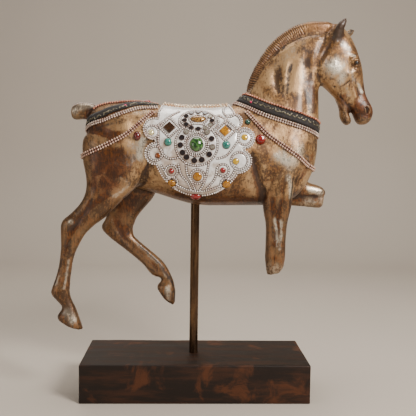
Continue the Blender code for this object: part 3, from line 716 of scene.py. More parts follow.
UMBER = (
    (24.0, 0.95, ((-120, 280), (-106, 268), (-92, 272), (-100, 252))),
    (16.0, 0.7, ((-84, 262), (-80, 284))),
    (13.0, 0.6, ((-118, 314), (-99, 317))),
    (11.0, 0.45, ((-44, 248), (-3, 233), (40, 232))),
    (8.0, 0.9, ((60, 282), (66, 262), (74, 244))),
    (11.0, 0.55, ((82, 262), (92, 270))),
    (6.5, 0.8, ((81, 238), (84, 208), (85, 176))),
    (5.5, 0.95, ((131, 384), (134, 364), (137, 344))),
    (8.0, 0.6, ((184, 380), (196, 354))),
    (8.0, 0.8, ((172, 360), (177, 336))),
    (13.0, 1.0, ((203, 354), (200, 344), (196, 334))),
    (9.0, 0.75, ((192, 366), (198, 358))),
    (8.0, 0.6, ((112, 330), (128, 318), (138, 300))),
    (8.0, 0.7, ((-122, 234), (-131, 219), (-139, 206))),
    (4.5, 0.65, ((-155, 186), (-160, 158), (-167, 129))),
    (11.0, 0.8, ((-84, 240), (-98, 214), (-104, 198), (-86, 182), (-66, 163))),
    (8.0, 0.75, ((-60, 160), (-46, 142))),
    (6.0, 0.8, ((122, 266), (133, 279), (138, 292))),
    (5.5, 0.7, ((20, 240), (50, 236), (78, 236))),
    (6.0, 0.8, ((-131, 320), (-132, 305), (-130, 288))),
    (7.0, 0.7, ((-126, 270), (-121, 246))),
    (4.0, 0.8, ((58, 372), (66, 388), (78, 404), (92, 417), (108, 428), (124, 435))),
    (5.0, 0.6, ((140, 449), (156, 448))),
)
# Shade: painted shade in the creases, under the mane, in the ear, eye, mouth and nostril and along the shaded
# edges of the legs and chest, with a few dark patina marks on the neck.
SHADE = (
    (1.7, 0.9, ((-57, 282), (-60, 270), (-66, 258), (-75, 248), (-86, 238), (-97, 226))),
    (6.0, 0.55, ((62, 292), (63, 282), (70, 284))),
    (1.6, 0.75, ((66, 276), (69, 266), (74, 256))),
    (5.0, 0.9, ((124, 416), (131, 414))),
    (3.4, 0.8, ((128, 404), (131, 394), (133, 380))),
    (2.4, 0.7, ((-98, 224), (-112, 211), (-126, 197), (-134, 185), (-139, 166), (-143, 146), (-148, 128))),
    (2.6, 0.95, ((-79, 196), (-65, 179), (-49, 165), (-36, 149), (-29, 128), (-26, 106))),
    (2.4, 0.8, ((-151, 196), (-156, 172), (-163, 148), (-169, 128))),
    (2.0, 0.7, ((195, 352), (199, 356), (206, 355))),
    (2.2, 0.7, ((192, 338), (199, 334), (205, 336))),
    (2.0, 0.6, ((168, 366), (172, 360), (176, 354), (182, 348))),
    (2.0, 0.55, ((157, 427), (150, 416), (145, 406), (141, 396), (141, 386))),
    (3.0, 0.7, ((145, 428),)),
    (3.2, 0.9, ((109, 397), (106, 386), (105, 376), (104, 364))),
    (2.8, 0.75, ((97, 391), (97, 379), (99, 365))),
    (5.0, 0.65, ((93, 372), (100, 362))),
    (2.6, 0.6, ((96, 392), (99, 376), (106, 364))),
    (5.0, 0.5, ((118, 415), (126, 410), (131, 398))),
    (4.5, 0.6, ((108, 361), (114, 356))),
    (2.0, 0.75, ((61, 362), (70, 382), (78, 395), (90, 409), (102, 419))),
    (2.6, 0.6, ((160, 374), (167, 372), (173, 375), (181, 381))),
    (2.0, 0.8, ((197, 399), (200, 380), (204, 364))),
    (3.2, 0.8, ((190, 404), (192, 398))),
    (2.6, 1.0, ((203, 348), (203, 344))),
    (2.6, 1.0, ((112, 264), (109, 236), (108, 218), (106, 200), (105, 161))),
    (2.6, 0.85, ((-122, 236), (-131, 220), (-139, 208), (-151, 199))),
    (2.4, 0.6, ((-127, 222), (-123, 210))),
    (1.6, 0.8, ((-164, 99), (-152, 89), (-137, 82))),
    (3.0, 0.75, ((-168, 125),)),
    (2.2, 0.8, ((85, 149),)),
    (2.2, 0.75, ((-80, 198), (-86, 190))),
    (1.8, 0.75, ((-47, 119), (-35, 105), (-28, 101))),
    (2.6, 0.75, ((-55, 139),)),
    (2.4, 0.7, ((-104, 196), (-92, 180), (-76, 164), (-62, 149), (-56, 138))),
    (1.6, 0.7, ((-93, 192), (-78, 172), (-62, 158), (-49, 145), (-43, 134))),
    (2.4, 0.8, ((-139, 186), (-142, 168), (-145, 150), (-148, 130))),
    (1.8, 0.7, ((-147, 190), (-150, 168), (-153, 148), (-157, 132))),
    (2.4, 0.7, ((-147, 346), (-147, 338), (-146, 330))),
    (2.6, 0.75, ((78, 246), (78, 220), (80, 190), (82, 168))),
    (2.2, 0.6, ((88, 236), (88, 214), (90, 194))),
    (5.0, 0.85, ((136, 322), (140, 306), (142, 290))),
    (5.0, 0.6, ((203, 354), (200, 344), (196, 334))),
    (6.0, 0.5, ((72, 286), (78, 278), (76, 266))),
    (4.5, 0.85, ((127, 366), (131, 354), (133, 342))),
    (7.5, 1.6, ((163, 432), (165, 438), (168, 446), (172, 452))),
    (4.0, 1.1, ((180, 436), (184, 441), (188, 445))),
    (2.2, 0.8, ((181, 352), (183, 344), (185, 338))),
    (2.2, 0.9, ((160, 240), (150, 240), (136, 240), (126, 240))),
    (3.2, 0.65, ((176, 335), (181, 331))),
    (2.4, 0.7, ((-86, 326), (-104, 322), (-122, 317))),
    (3.5, 0.6, ((82, 208), (83, 180))),
)
print("strokes of paint:", len(SILVER_AND_HIGHLIGHTS) + len(UMBER) + len(SHADE))

# %% [markdown]
# ## Values stored on the skin
#
# A finish can read a value that is stored at each point of a mesh. Each paint becomes such a value, and
# more of them tell hollows from ridges, the breaks, the mane and the eye. The finish breaks their edges up
# with noise later on.

# %% Lay the paints on the skin
HOLLOW_ROUNDS = 22
HOLLOW_FULL = 0.55
SIDE_FADE = 4
EYE_PAINT = 2.4


def painted(mesh, strokes):
    """How much of a paint each point of the skin carries, from 0 to 1."""
    tree = tree_of(mesh)
    places = places_of(mesh)
    normals = places_of(mesh, "normal")
    amount = np.zeros(len(places))
    for reach, strength, line in strokes:
        for side in BOTH:
            close = nearness(places, laid(tree, line, side), reach * MM) * strength
            close *= np.clip((normals[:, 1] * side - TURNED_AWAY) * SIDE_FADE, 0, 1)
            amount = np.maximum(amount, close)
    return amount


def hollows(mesh):
    """0 on ridges, 0.5 on even skin and 1 in hollows."""
    ends, links = edge_ends(mesh)
    places = places_of(mesh)
    smooth = places
    for _ in range(HOLLOW_ROUNDS):
        smooth = neighbour_means(smooth, ends, links)
    depth = ((smooth - places) * places_of(mesh, "normal")).sum(1)
    return np.clip(0.5 + 0.5 * depth / (HOLLOW_FULL * MM), 0, 1)


def store(mesh, name, values):
    made = mesh.attributes.new(name, "FLOAT", "POINT")
    made.data.foreach_set("value", values.astype(np.float32))
    print(name, "mean", round(float(values.mean()), 3))


eye_close = np.zeros(len(horse_mesh.vertices))
for eye_side in BOTH:
    eye_line = laid(tree_of(horse_mesh), (EYE,), eye_side)
    eye_close = np.maximum(eye_close, nearness(places_of(horse_mesh), eye_line, EYE_PAINT * MM))
for paint, strokes in (("silver", SILVER_AND_HIGHLIGHTS), ("umber", UMBER), ("shade", SHADE)):
    store(horse_mesh, paint, painted(horse_mesh, strokes))
store(horse_mesh, "hollow", hollows(horse_mesh))
store(horse_mesh, "broken", broken_ends)
store(horse_mesh, "mane", mane_band)
store(horse_mesh, "comb", mane_wave)
store(horse_mesh, "eye", eye_close)

# %% [markdown]
# ## The colours and patterns of old leaf
#
# The leaf is champagne gold that drifts to a deeper gold in broad clouds, and to brown on the legs, the
# rump and the muzzle. Five noises of different grain make its patterns, from fine grit to wide drifts, and
# one of them is stretched into brush marks.

# %% Choose the leaf's colours and noises
CHAMPAGNE = tone(176, 140, 98)
OLD_GOLD = tone(134, 94, 52)
LIGHT_BROWN = tone(114, 66, 26)
DARK_BROWN = tone(46, 24, 11)
BRUSH_MARK = tone(98, 62, 34)
GLAZE_THICK = tone(48, 24, 11)
GLAZE_THIN = tone(106, 58, 22)
# The colour of bright leaf and of the painted highlights.
BRIGHT_LEAF_AND_HIGHLIGHT = tone(226, 218, 200)
RUBBED_LEAF = tone(204, 168, 120)
# The colour of the painted shade.
NEARLY_BLACK = tone(30, 18, 11)
HOLLOW_DIRT = tone(44, 26, 14)
FLECK = tone(62, 38, 22)
MANE_BROWN = tone(122, 80, 40)
COMB_DIRT = tone(48, 28, 16)
RAW_PALE = tone(158, 138, 112)
RAW_DARK = tone(78, 54, 34)
EYE_BLACK = tone(9, 9, 12)

leaf = Finish("antique_leaf", Coat_Roughness=0.2, Specular_IOR_Level=0.5)
fine = leaf.cloud(0.0012, detail=3.0, roughness=0.7)
speckle = leaf.cloud(0.0030, detail=5.0, roughness=0.7)
blots = leaf.cloud(0.010, detail=6.0, roughness=0.66, distortion=0.5)
drift = leaf.cloud(0.034, detail=4.0, roughness=0.55)
streak_points = leaf.points(stretch=(1.7, 1.7, 0.36), turn=(0, 0.3, 0))
brushed = leaf.cloud(0.0036, detail=5.0, roughness=0.66, points=streak_points)
place_x = leaf.place(0)
place_z = leaf.place(2)
broken_up = (blots - 0.5) * 1.8 + (speckle - 0.5) * 1.5 + (brushed - 0.5) * 1.3
print("nodes of the leaf's patterns:", len(leaf.tree.nodes))

# %% [markdown]
# ## Glaze over leaf
#
# The layers go on in the order in which a gilder works. First comes the leaf, then thin and thick glaze by
# the painted values, then the bright places, which are rubbed free leaf with painted highlights, then the
# painted shade, and last the dirt in the hollows and the dark flecks. Noise added to each mask makes its
# edge look rubbed by hand.

# %% Lay glaze over the leaf
legs = leaf.fade(place_z + (blots - 0.5) * 0.05, 0.268, 0.228)
rump = leaf.fade(place_x + (blots - 0.5) * 0.05, -0.066, -0.100)
muzzle = leaf.fade(place_x - place_z * 0.5 + (blots - 0.5) * 0.02, -0.004, 0.016)
brown_share = leaf.maths("MAXIMUM", leaf.maths("MAXIMUM", legs, rump), muzzle) * 0.82 + (drift - 0.5) * 1.2
base_gold = leaf.mix(leaf.fade(drift + (blots - 0.5) * 0.8, 0.36, 0.66), CHAMPAGNE, OLD_GOLD)
base_brown = leaf.mix(leaf.fade(brushed + (blots - 0.5) * 0.7, 0.36, 0.64), LIGHT_BROWN, DARK_BROWN)
gold = leaf.mix(leaf.fade(brown_share, 0.15, 0.75), base_gold, base_brown)
gold = leaf.mix(leaf.fade(brushed, 0.52, 0.70) * 0.5, gold, BRUSH_MARK)
umber_mask = leaf.fade(leaf.attribute("umber") + broken_up * 0.8, 0.18, 0.88)
glaze = leaf.mix(leaf.fade(blots, 0.38, 0.60), GLAZE_THICK, GLAZE_THIN)
glazed = leaf.mix(umber_mask * 0.85, gold, glaze)
# Bright leaf together with painted highlights.
silver_and_highlight_mask = leaf.fade(leaf.attribute("silver") + broken_up * 0.65, 0.16, 0.95)
lit = leaf.mix(silver_and_highlight_mask * 0.9, glazed, BRIGHT_LEAF_AND_HIGHLIGHT)
rubbed = leaf.fade(0.5 - leaf.attribute("hollow") + (fine - 0.5) * 0.3 + (blots - 0.5) * 0.4, 0.30, 0.56)
lit = leaf.mix(rubbed * (0.36 - legs * 0.16), lit, RUBBED_LEAF)
# Painted shade, with a few dark patina marks.
painted_shade_and_patina_mask = leaf.fade(leaf.attribute("shade") + broken_up * 0.75, 0.22, 1.05)
shaded = leaf.mix(painted_shade_and_patina_mask * 0.92, lit, NEARLY_BLACK)
deep = leaf.fade(leaf.attribute("hollow") + broken_up * 0.5, 0.56, 0.98)
shaded = leaf.mix(deep * 0.84, shaded, HOLLOW_DIRT)
flecks = leaf.fade(speckle + (drift - 0.5) * 1.1 + (brushed - 0.5) * 0.6, 0.47, 0.64)
shaded = leaf.mix(flecks * 0.72, shaded, FLECK)
print("nodes with the glazes:", len(leaf.tree.nodes))

# %% [markdown]
# ## The mane, the breaks and the eye
#
# The mane is browner, with dark scores. The breaks show dull raw material, and the eye is black and
# polished. The metal is bright and smooth where the leaf is clean, and dull where the glaze is thick. A
# thin clear coat gives the sharp lights of a varnished piece.

# %% Finish the horse
mane_comb = leaf.fade(leaf.attribute("comb") + (speckle - 0.5) * 0.8, 0.15, 0.65) * leaf.attribute("mane")
shaded = leaf.mix(leaf.attribute("mane") * 0.65, shaded, MANE_BROWN)
shaded = leaf.mix(mane_comb * 0.8, shaded, COMB_DIRT)
raw_mask = leaf.fade(leaf.attribute("broken") + broken_up * 0.5, 0.35, 0.85)
raw = leaf.mix(leaf.fade(speckle, 0.42, 0.62), RAW_PALE, RAW_DARK)
shaded = leaf.mix(raw_mask * 0.85, shaded, raw)
eye_mask = leaf.fade(leaf.attribute("eye"), 0.34, 0.46)
colour = leaf.mix(eye_mask, shaded, EYE_BLACK)
dull = umber_mask * 0.08 + painted_shade_and_patina_mask * 0.12 + raw_mask * 0.3 + deep * 0.1
rough = 0.42 + (fine - 0.5) * 0.2 + (blots - 0.5) * 0.45 + dull - silver_and_highlight_mask * 0.14
height = fine * 0.25 + speckle * 0.35 + brushed * 0.4
leaf.give(
    {
        "Base_Color": colour,
        "Roughness": rough * (1 - eye_mask) + eye_mask * 0.06,
        "Metallic": (0.52 - umber_mask * 0.18 - painted_shade_and_patina_mask * 0.3 - raw_mask * 0.5) * (1 - eye_mask),
        "Coat_Weight": 0.26 + eye_mask * 0.6 - raw_mask * 0.26,
        "Normal": leaf.bump(height, 0.00055),
    }
)
dress("horse_figure", horse_mesh, leaf, ["horse"])
horse_skin = tree_of(horse_mesh)

# %% [markdown]
# ## Measuring lines on the statue
#
# The saddle's wires and the harness are long lines that follow the form. A line starts as a few listed
# points, or as an arc. It becomes a smooth curve, is laid on a surface, and is then walked at even
# steps, so that beads sit side by side at one distance wherever the surface turns.

# %% Curves, arcs and walks
CURVE_STEPS = 8
ARC_STEP = 6


def smooth_curve(points):
    """A Catmull-Rom curve through points of any dimension, as an array."""
    points = [np.array(point, float) for point in points]
    ends = [points[0], *points, points[-1]]
    fine = []
    for a, b, c, d in zip(ends, ends[1:], ends[2:], ends[3:]):
        for step in range(CURVE_STEPS):
            t = step / CURVE_STEPS
            bend = (2 * a - 5 * b + 4 * c - d) * t**2 + (3 * b - a - 3 * c + d) * t**3
            fine.append(0.5 * (2 * b + (c - a) * t + bend))
    fine.append(points[-1])
    return np.array(fine)


def arc(centre, radius, start, end, flat=1.0):
    """Points on an arc, by its angles in degrees; flat squeezes its height."""
    count = max(2, round(abs(end - start) / ARC_STEP))
    points = []
    for number in range(count + 1):
        angle = math.radians(start + (end - start) * number / count)
        points.append((centre[0] + radius * math.cos(angle), centre[1] + radius * flat * math.sin(angle)))
    return points


def walk(spots, pitch, closed=False):
    """Spots at even steps near the pitch along a line, each with its direction onward."""
    spots = np.array(spots, float)
    runs = np.linalg.norm(np.diff(spots, axis=0), axis=1)
    passed = np.concatenate([[0], np.cumsum(runs)])
    count = max(1, round(passed[-1] / pitch))
    wanted = np.linspace(0, passed[-1], count + 1)
    found = np.stack([np.interp(wanted, passed, spots[:, axis]) for axis in range(3)], axis=1)
    if closed:
        found = found[:-1]
        onward = np.roll(found, -1, axis=0) - np.roll(found, 1, axis=0)
    else:
        onward = np.gradient(found, axis=0)
    return [(Vector(spot), Vector(way).normalized()) for spot, way in zip(found, onward)]


def standing_on(spot, onward, outward):
    """The frame of a thing that stands on a surface: its first axis runs along the line."""
    across = outward.cross(onward).normalized()
    onward = across.cross(outward).normalized()
    turn = Matrix((onward, across, outward.normalized())).transposed().to_4x4()
    return Matrix.Translation(spot) @ turn


sample_ring = [(x, 0, z) for x, z in arc((0, 0), 24.2, 0, 360)]
print("a ring of 24.2 mm holds", len(walk(sample_ring, 2.6, closed=True)), "beads at steps of 2.6 mm")

# %% [markdown]
# ## The saddle sheet
#
# The cloth is one thin sheet of silver, pressed onto the back and both flanks. A grid is shot at the skin
# from outside, in fans round a line inside the chest. Faces outside the outline go, and the points left
# on the edge slide along the skin until they lie on it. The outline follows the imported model's: a panel,
# and round lobes of (middle, height, radius), a large one below and small ones at the sides.

# %% Cut the sheet's outline
PANEL = np.array(
    [(-43, 362), (-46, 338), (-51, 326), (-44, 296), (44, 296), (49, 326), (42, 338), (35, 362)], float
)
LOBES = (
    (1, 294, 51), (-51, 318, 12), (-49, 290, 12), (53, 309, 11.5), (47, 283, 13.5), (42, 328, 8.5),
)  # fmt: skip
SHEET_AXIS = 296


def outside_by(x, z):
    """How far a point of the side view lies outside the saddle's outline, in millimetres."""
    inward = math.inf
    for start, end in zip(PANEL, np.roll(PANEL, -1, axis=0)):
        run = (end - start) / np.linalg.norm(end - start)
        inward = min(inward, run[1] * (start[0] - x) - run[0] * (start[1] - z))
    lobes = [math.hypot(x - middle, z - height) - radius for middle, height, radius in LOBES]
    return min([-inward, *lobes])


print("the saddle's middle lies inside by", -round(outside_by(0, SHEET_AXIS), 1), "mm")

# %% [markdown]
# ## From outline to sheet
#
# A fan of rays from outside the body drops a fine grid onto the skin. What lies beyond the outline is cut
# away, and the new rim slides along the skin to the exact outline, so that it is smooth. Last, the sheet is
# lifted off the skin, to leave room for its thickness.

# %% Press a sheet onto the skin
SHEET_REACH = (-64.5, 66.5)
SHEET_FAN = math.radians(166)
SHEET_GRID = (150, 330)
SHEET_LIFT = 0.0013
SHEET_DEPTH = 0.0016
SHOT_FROM = 0.12
CUT_BEYOND = 0.45
SLIDE_ROUNDS = 5
SLIDE_STEP = 0.2


def slide_to_edge(tree, spot):
    """The skin's point nearest to this one that lies on the saddle's outline."""
    step = SLIDE_STEP
    for _ in range(SLIDE_ROUNDS):
        x, z = spot.x / MM, spot.z / MM
        gap = outside_by(x, z)
        slope_x = (outside_by(x + step, z) - outside_by(x - step, z)) / (2 * step)
        slope_z = (outside_by(x, z + step) - outside_by(x, z - step)) / (2 * step)
        steepness = max(slope_x**2 + slope_z**2, 0.2)
        moved = spot - spot_at(slope_x, slope_z) * gap / steepness
        spot = tree.find_nearest(moved)[0]
    return spot


def pressed_sheet(tree):
    """The sheet's upper face, cut to its outline and lifted off the skin."""
    columns, rows = SHEET_GRID
    bm = bmesh.new()
    bmesh.ops.create_grid(bm, x_segments=columns, y_segments=rows, size=1)
    for vert in bm.verts:
        x = SHEET_REACH[0] + (vert.co.x + 1) / 2 * (SHEET_REACH[1] - SHEET_REACH[0])
        angle = vert.co.y * SHEET_FAN
        way = Vector((0, math.sin(angle), math.cos(angle)))
        centre = spot_at(x, SHEET_AXIS)
        vert.co = tree.ray_cast(centre + way * SHOT_FROM, -way)[0] or centre
    outer = [vert for vert in bm.verts if outside_by(vert.co.x / MM, vert.co.z / MM) > CUT_BEYOND]
    bmesh.ops.delete(bm, geom=outer, context="VERTS")
    lone = [face for face in bm.faces if sum(edge.is_boundary for edge in face.edges) > 2]
    bmesh.ops.delete(bm, geom=lone, context="FACES")
    for vert in bm.verts:
        if vert.is_boundary:
            vert.co = slide_to_edge(tree, vert.co)
    bmesh.ops.recalc_face_normals(bm, faces=bm.faces)
    if sum(face.normal.dot(face.calc_center_median() - spot_at(0, SHEET_AXIS)) for face in bm.faces) < 0:
        bmesh.ops.reverse_faces(bm, faces=bm.faces)
    bm.normal_update()
    for vert in bm.verts:
        vert.co += tree.find_nearest(vert.co)[1] * SHEET_LIFT
    return bm


sheet_bm = pressed_sheet(horse_skin)
sheet_skin = BVHTree.FromBMesh(sheet_bm)
print("faces of the sheet's top:", len(sheet_bm.faces))

# %% [markdown]
# ## The wires' pattern
#
# Rows of tiny silver beads draw the pattern: a ring of mirrors round the green stone, an oval one above
# it, frames round the square stones, small circles in the lobes, and leaves below. The same pattern is
# repeated on the far side. Each entry is a line of the side view.

# %% Draw the wires
RING_CENTRE = (-2.1, 301.1)
SIDE_SHARES = (0, 0.25, 0.5, 0.75)


def circle(x, z, radius, flat=1.0):
    """A circle of the side view, or an oval where it is flat."""
    return arc((x, z), radius, 0, 360, flat)


def diamond(x, z, reach):
    """A square on its corner, with points along its sides."""
    corners = ((reach, 0), (0, reach), (-reach, 0), (0, -reach), (reach, 0))
    points = []
    for (along, up), (next_along, next_up) in zip(corners, corners[1:]):
        for share in SIDE_SHARES:
            points.append((x + along + (next_along - along) * share, z + up + (next_up - up) * share))
    return [*points, points[0]]


WIRES = (
    circle(*RING_CENTRE, 24.2),
    circle(*RING_CENTRE, 13.4),
    circle(0.2, 327.8, 22.6, 0.54),
    circle(-0.5, 330.0, 10.2, 0.48),
    circle(-53.5, 314.5, 7.6),
    circle(-49, 290, 8.2),
    circle(53, 309.5, 8.0),
    circle(47, 283, 9.8),
    circle(40, 327.7, 8.8),
    circle(36, 340.8, 7.0),
    arc((1, 294), 46.6, 202, 338),
    smooth_curve(((-45.6, 312), (-45.6, 300.3), (-40.8, 290), (-33.2, 284.5), (-23.7, 285.4))),
    smooth_curve(((44.6, 316.5), (46.4, 309), (39.8, 297.7), (31.2, 288.2), (21.6, 285.3))),
    diamond(-33.4, 319.9, 11.6),
    diamond(30.4, 316.8, 11.2),
    circle(-0.6, 264.4, 8.2),
    circle(-30.6, 270.3, 6.8),
    circle(28.4, 272.1, 6.8),
    circle(32.8, 256.3, 6.7),
    circle(-29.9, 256.7, 6.6),
    smooth_curve(((-22.5, 278.1), (-19.6, 266.9), (-12, 257.7), (-8, 249.3))),
    smooth_curve(((12, 280.4), (10, 267.4), (7.3, 258), (2.5, 248.8))),
    smooth_curve(((21.6, 275), (19, 262), (10, 250.5))),
    smooth_curve(((-14, 279), (-12, 266), (-6, 256), (-3, 249))),
    smooth_curve(((-36, 262.9), (-25.4, 250.8))),
)
THICK_WIRES = (circle(*RING_CENTRE, 11.0), circle(-0.5, 330.3, 20.4, 0.54))
STITCHES = (
    smooth_curve(((-48.5, 320.8), (-36, 331), (-22.5, 339.5))),
    smooth_curve(((22.6, 335.4), (32, 330), (46.8, 318.3))),
)
print("wires a side:", len(WIRES) + len(THICK_WIRES) + len(STITCHES))


def rim_line(bm):
    """The sheet's boundary as one closed walk of its points."""
    here = next(vert for vert in bm.verts if vert.is_boundary)
    line = []
    seen = set()
    while here:
        line.append(here.co.copy())
        seen.add(here)
        ahead = [edge.other_vert(here) for edge in here.link_edges if edge.is_boundary]
        here = next((vert for vert in ahead if vert not in seen), None)
    return [*line, line[0]]


rim = rim_line(sheet_bm)
print("points on the rim:", len(rim), "of", sum(edge.is_boundary for edge in sheet_bm.edges))

# %% [markdown]
# ## Embossing the sheet
#
# The sheet is beaten up between the wires, so each field swells a little, and it sinks under the wires,
# where the patina stays. A point's distance to the nearest wire gives both, and is stored for the colour.

# %% Sink the wires' beds
BED_REACH = 1.6
BED_DEPTH = 0.35
FIELD_SWELL = 0.45
SWELL_REACH = 5
LAYING_STEP = 0.8
RIM_STEP = 1.5


def sheet_distances(mesh, lines):
    """Each point's distance to the nearest wire, in millimetres."""
    places = places_of(mesh)
    wires = np.array([spot for line in lines for spot in line])
    tree = KDTree(len(wires))
    for number, spot in enumerate(wires):
        tree.insert(spot, number)
    tree.balance()
    return np.array([tree.find(place)[2] for place in places]) / MM


def laid_line(line, side):
    """A line of the side view, laid on the sheet at fine steps."""
    flat = [(x, 0.0, z) for x, z in line]
    return [on_side(sheet_skin, spot.x, spot.z, side)[0] for spot, _ in walk(flat, LAYING_STEP)]


wire_lines = [laid_line(line, side) for line in WIRES + THICK_WIRES + STITCHES for side in BOTH]
wire_lines.append([spot for spot, _ in walk(rim, RIM_STEP * MM)])
thicken(sheet_bm, SHEET_DEPTH)
sheet_mesh = as_mesh(sheet_bm, "saddle_sheet")
wire_gaps = sheet_distances(sheet_mesh, wire_lines)
bed = np.exp(-((wire_gaps / BED_REACH) ** 2))
swell = FIELD_SWELL * np.clip(wire_gaps / SWELL_REACH, 0, 1) ** 0.7
sheet_places = places_of(sheet_mesh)
sheet_normals = places_of(sheet_mesh, "normal")
inside_skin = np.array([horse_skin.find_nearest(place)[3] for place in sheet_places]) < SHEET_LIFT * 0.6
sheet_places += sheet_normals * ((swell - BED_DEPTH * bed) * MM * ~inside_skin)[:, None]
set_places(sheet_mesh, sheet_places)
print("points of the sheet:", len(sheet_places))
store(sheet_mesh, "bed", bed)

# %% [markdown]
# ## Embossed silver
#
# The sheet is bright silver, warmer where it is worn low down and towards the croup, and dark in the beds of
# the wires. Strong metal would mirror the dark room round it, so most of its white is plain colour under
# a clear coat.

# %% Finish the sheet
silver = Finish("embossed_silver", Coat_Weight=0.5, Coat_Roughness=0.1)
silver_fine = silver.cloud(0.0009, detail=2.0)
silver_cloud = silver.cloud(0.012, detail=4.0, roughness=0.6)
low_and_behind = 0.5 - silver.place(0) * 4.5 - (silver.place(2) - 0.300) * 7
worn = silver.fade(low_and_behind + (silver_cloud - 0.5) * 1.3, 0.48, 0.86)
sheet_colour = silver.mix(silver.fade(silver_cloud, 0.4, 0.65), tone(252, 251, 249), tone(228, 224, 219))
sheet_colour = silver.mix(worn * 0.6, sheet_colour, tone(158, 120, 82))
bed_mask = silver.fade(silver.attribute("bed") + (silver_fine - 0.5) * 0.4, 0.20, 0.62)
sheet_colour = silver.mix(bed_mask * 0.92, sheet_colour, tone(54, 32, 25))
silver.give(
    {
        "Base_Color": sheet_colour,
        "Roughness": 0.22 + (silver_fine - 0.5) * 0.14 + bed_mask * 0.25,
        "Metallic": 0.15 - bed_mask * 0.1,
        "Normal": silver.bump(silver_fine * 0.4 + silver_cloud * 0.6, 0.00018),
    }
)
dress("saddle_sheet", sheet_mesh, silver, ["saddle"], sharp=True)

# %% [markdown]
# ## Beads in rows
#
# A bead is a small ball of few faces, a little flattened onto the surface. Its frame comes from the walk
# along the line and the surface's own direction, so one function strings every row on the statue. It
# leaves out the beads that a stone would cover.

# %% One way to string beads
BEAD_SIDES = (8, 5)
STONE_MARGIN = 0.003
STONE_NODES = sorted(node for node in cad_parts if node.endswith(("_near", "_far", "croup_stone")))
STONE_BOXES = [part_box(node) for node in STONE_NODES if not node.startswith("crupper_cord")]


def under_stone(spot):
    """Whether a stone covers this spot."""
    for low, high in STONE_BOXES:
        half = (high - low) / 2
        away = spot - (low + high) / 2
        if (away.x / half.x) ** 2 + (away.z / half.z) ** 2 < 1 and abs(away.y) < half.y + STONE_MARGIN:
            return True
    return False


def up_across(onward, outward):
    """The way across a line on a surface, turned so that it points upwards."""
    across = outward.cross(onward).normalized()
    return across * math.copysign(1, across.z or 1)


def scaled_ball(half_sizes):
    """What turns a ball of radius 1 into one with these half sizes, in millimetres."""
    return Matrix.Diagonal([half * MM for half in half_sizes] + [1])


def string_beads(line, tree, pitch, size, sides=BEAD_SIDES, closed=False, lift=0.3, aside=0.0):
    """Balls along a line on a surface, all in millimetres; size is (along, across, up)."""
    row = bmesh.new()
    shape = scaled_ball([part / 2 for part in size])
    for spot, onward in walk(line, pitch * MM, closed):
        if under_stone(spot):
            continue
        ground, outward = tree.find_nearest(spot)[:2]
        if aside:
            across = up_across(onward, outward)
            ground, outward = tree.find_nearest(ground + across * aside * MM)[:2]
        place = standing_on(ground + outward * size[2] * lift * MM, onward, outward)
        bmesh.ops.create_uvsphere(
            row, u_segments=sides[0], v_segments=sides[1], radius=1, matrix=place @ shape
        )
    return as_mesh(row, "row")


def gathered(meshes):
    """Several meshes in one bmesh."""
    bm = bmesh.new()
    for mesh in meshes:
        bm.from_mesh(mesh)
        bpy.data.meshes.remove(mesh)
    return bm


print("stones that beads keep clear of:", len(STONE_BOXES))

# %% [markdown]
# ## The silver wires
#
# The wires are strings of silver beads along the lines drawn above, with heavier ones round the green stone
# and the oval, and stitched seams beside it. Each kind of row is (lines, step, size of a bead), and a stitch
# is long bars across a thin core. One recipe gives every row on the statue its finish, in its own colours.

# %% String the silver wires
def bead_finish(name, light, dark, metallic, roughness):
    """A finish for beads: light metal in mottled patches of a darker tone."""
    made = Finish(name, Coat_Weight=0.2, Coat_Roughness=0.15)
    mottle = made.cloud(0.0016, detail=3.0)
    broad = made.cloud(0.010, detail=3.0)
    blend = made.fade(mottle * 0.6 + broad * 0.5, 0.46, 0.70)
    made.give(
        {
            "Base_Color": made.mix(blend, light, dark),
            "Roughness": roughness + (mottle - 0.5) * 0.2,
            "Metallic": metallic - blend * 0.2,
            "Normal": made.bump(mottle, 0.0001),
        }
    )
    return made


ROW_KINDS = (
    (WIRES, 2.6, (2.05, 1.95, 1.9)),
    (THICK_WIRES, 2.2, (1.2, 2.8, 1.6)),
    (STITCHES, 3.6, (0.9, 4.2, 1.4)),
    (STITCHES, 1.2, (1.5, 0.9, 1.1)),
)
RIM_PITCH = 2.8
RIM_BEAD = (2.2, 2.1, 2.0)
wire_rows = []
for side in BOTH:
    for lines, pitch, size in ROW_KINDS:
        for line in lines:
            wire_rows.append(string_beads(laid_line(line, side), sheet_skin, pitch, size))
wire_rows.append(string_beads(rim, sheet_skin, RIM_PITCH, RIM_BEAD, closed=True, lift=0.15))
wire_finish = bead_finish("silver_wire", tone(252, 247, 242), tone(206, 176, 164), 0.2, 0.24)
ring_finish = bead_finish("ring_wire", tone(132, 112, 104), tone(80, 62, 56), 0.5, 0.3)
add_piece("saddle_wires", gathered(wire_rows), wire_finish)

# %% [markdown]
# ## The spine's gold beads
#
# Six rows of gold beads run side by side along the back, on the top of the cloth. The two in the middle
# are the largest. Each row is (distance from the middle line, size).

# %% Set the beads along the back
SPINE_REACH = (-42, 34)
SPINE_STEP = 2
SPINE_ROWS = ((-12.5, 2.9), (-8.4, 3.4), (-3.0, 3.8), (3.0, 3.8), (8.4, 3.4), (12.5, 2.9))
BEAD_GAP = 0.5
ABOVE_ALL = 400


def spine_line(across):
    """The back's top line at this distance from the middle, in millimetres."""
    line = []
    for x in range(SPINE_REACH[0], SPINE_REACH[1] + 1, SPINE_STEP):
        hit = sheet_skin.ray_cast(spot_at(x, ABOVE_ALL, across), Vector((0, 0, -1)))[0]
        if hit:
            line.append(hit)
    return line


spine_rows = [
    string_beads(spine_line(across), sheet_skin, size + BEAD_GAP, (size,) * 3, lift=0.45)
    for across, size in SPINE_ROWS
]
spine_finish = bead_finish("gold_beads", tone(244, 230, 204), tone(180, 118, 56), 0.5, 0.22)
add_piece("spine_beads", gathered(spine_rows), spine_finish)
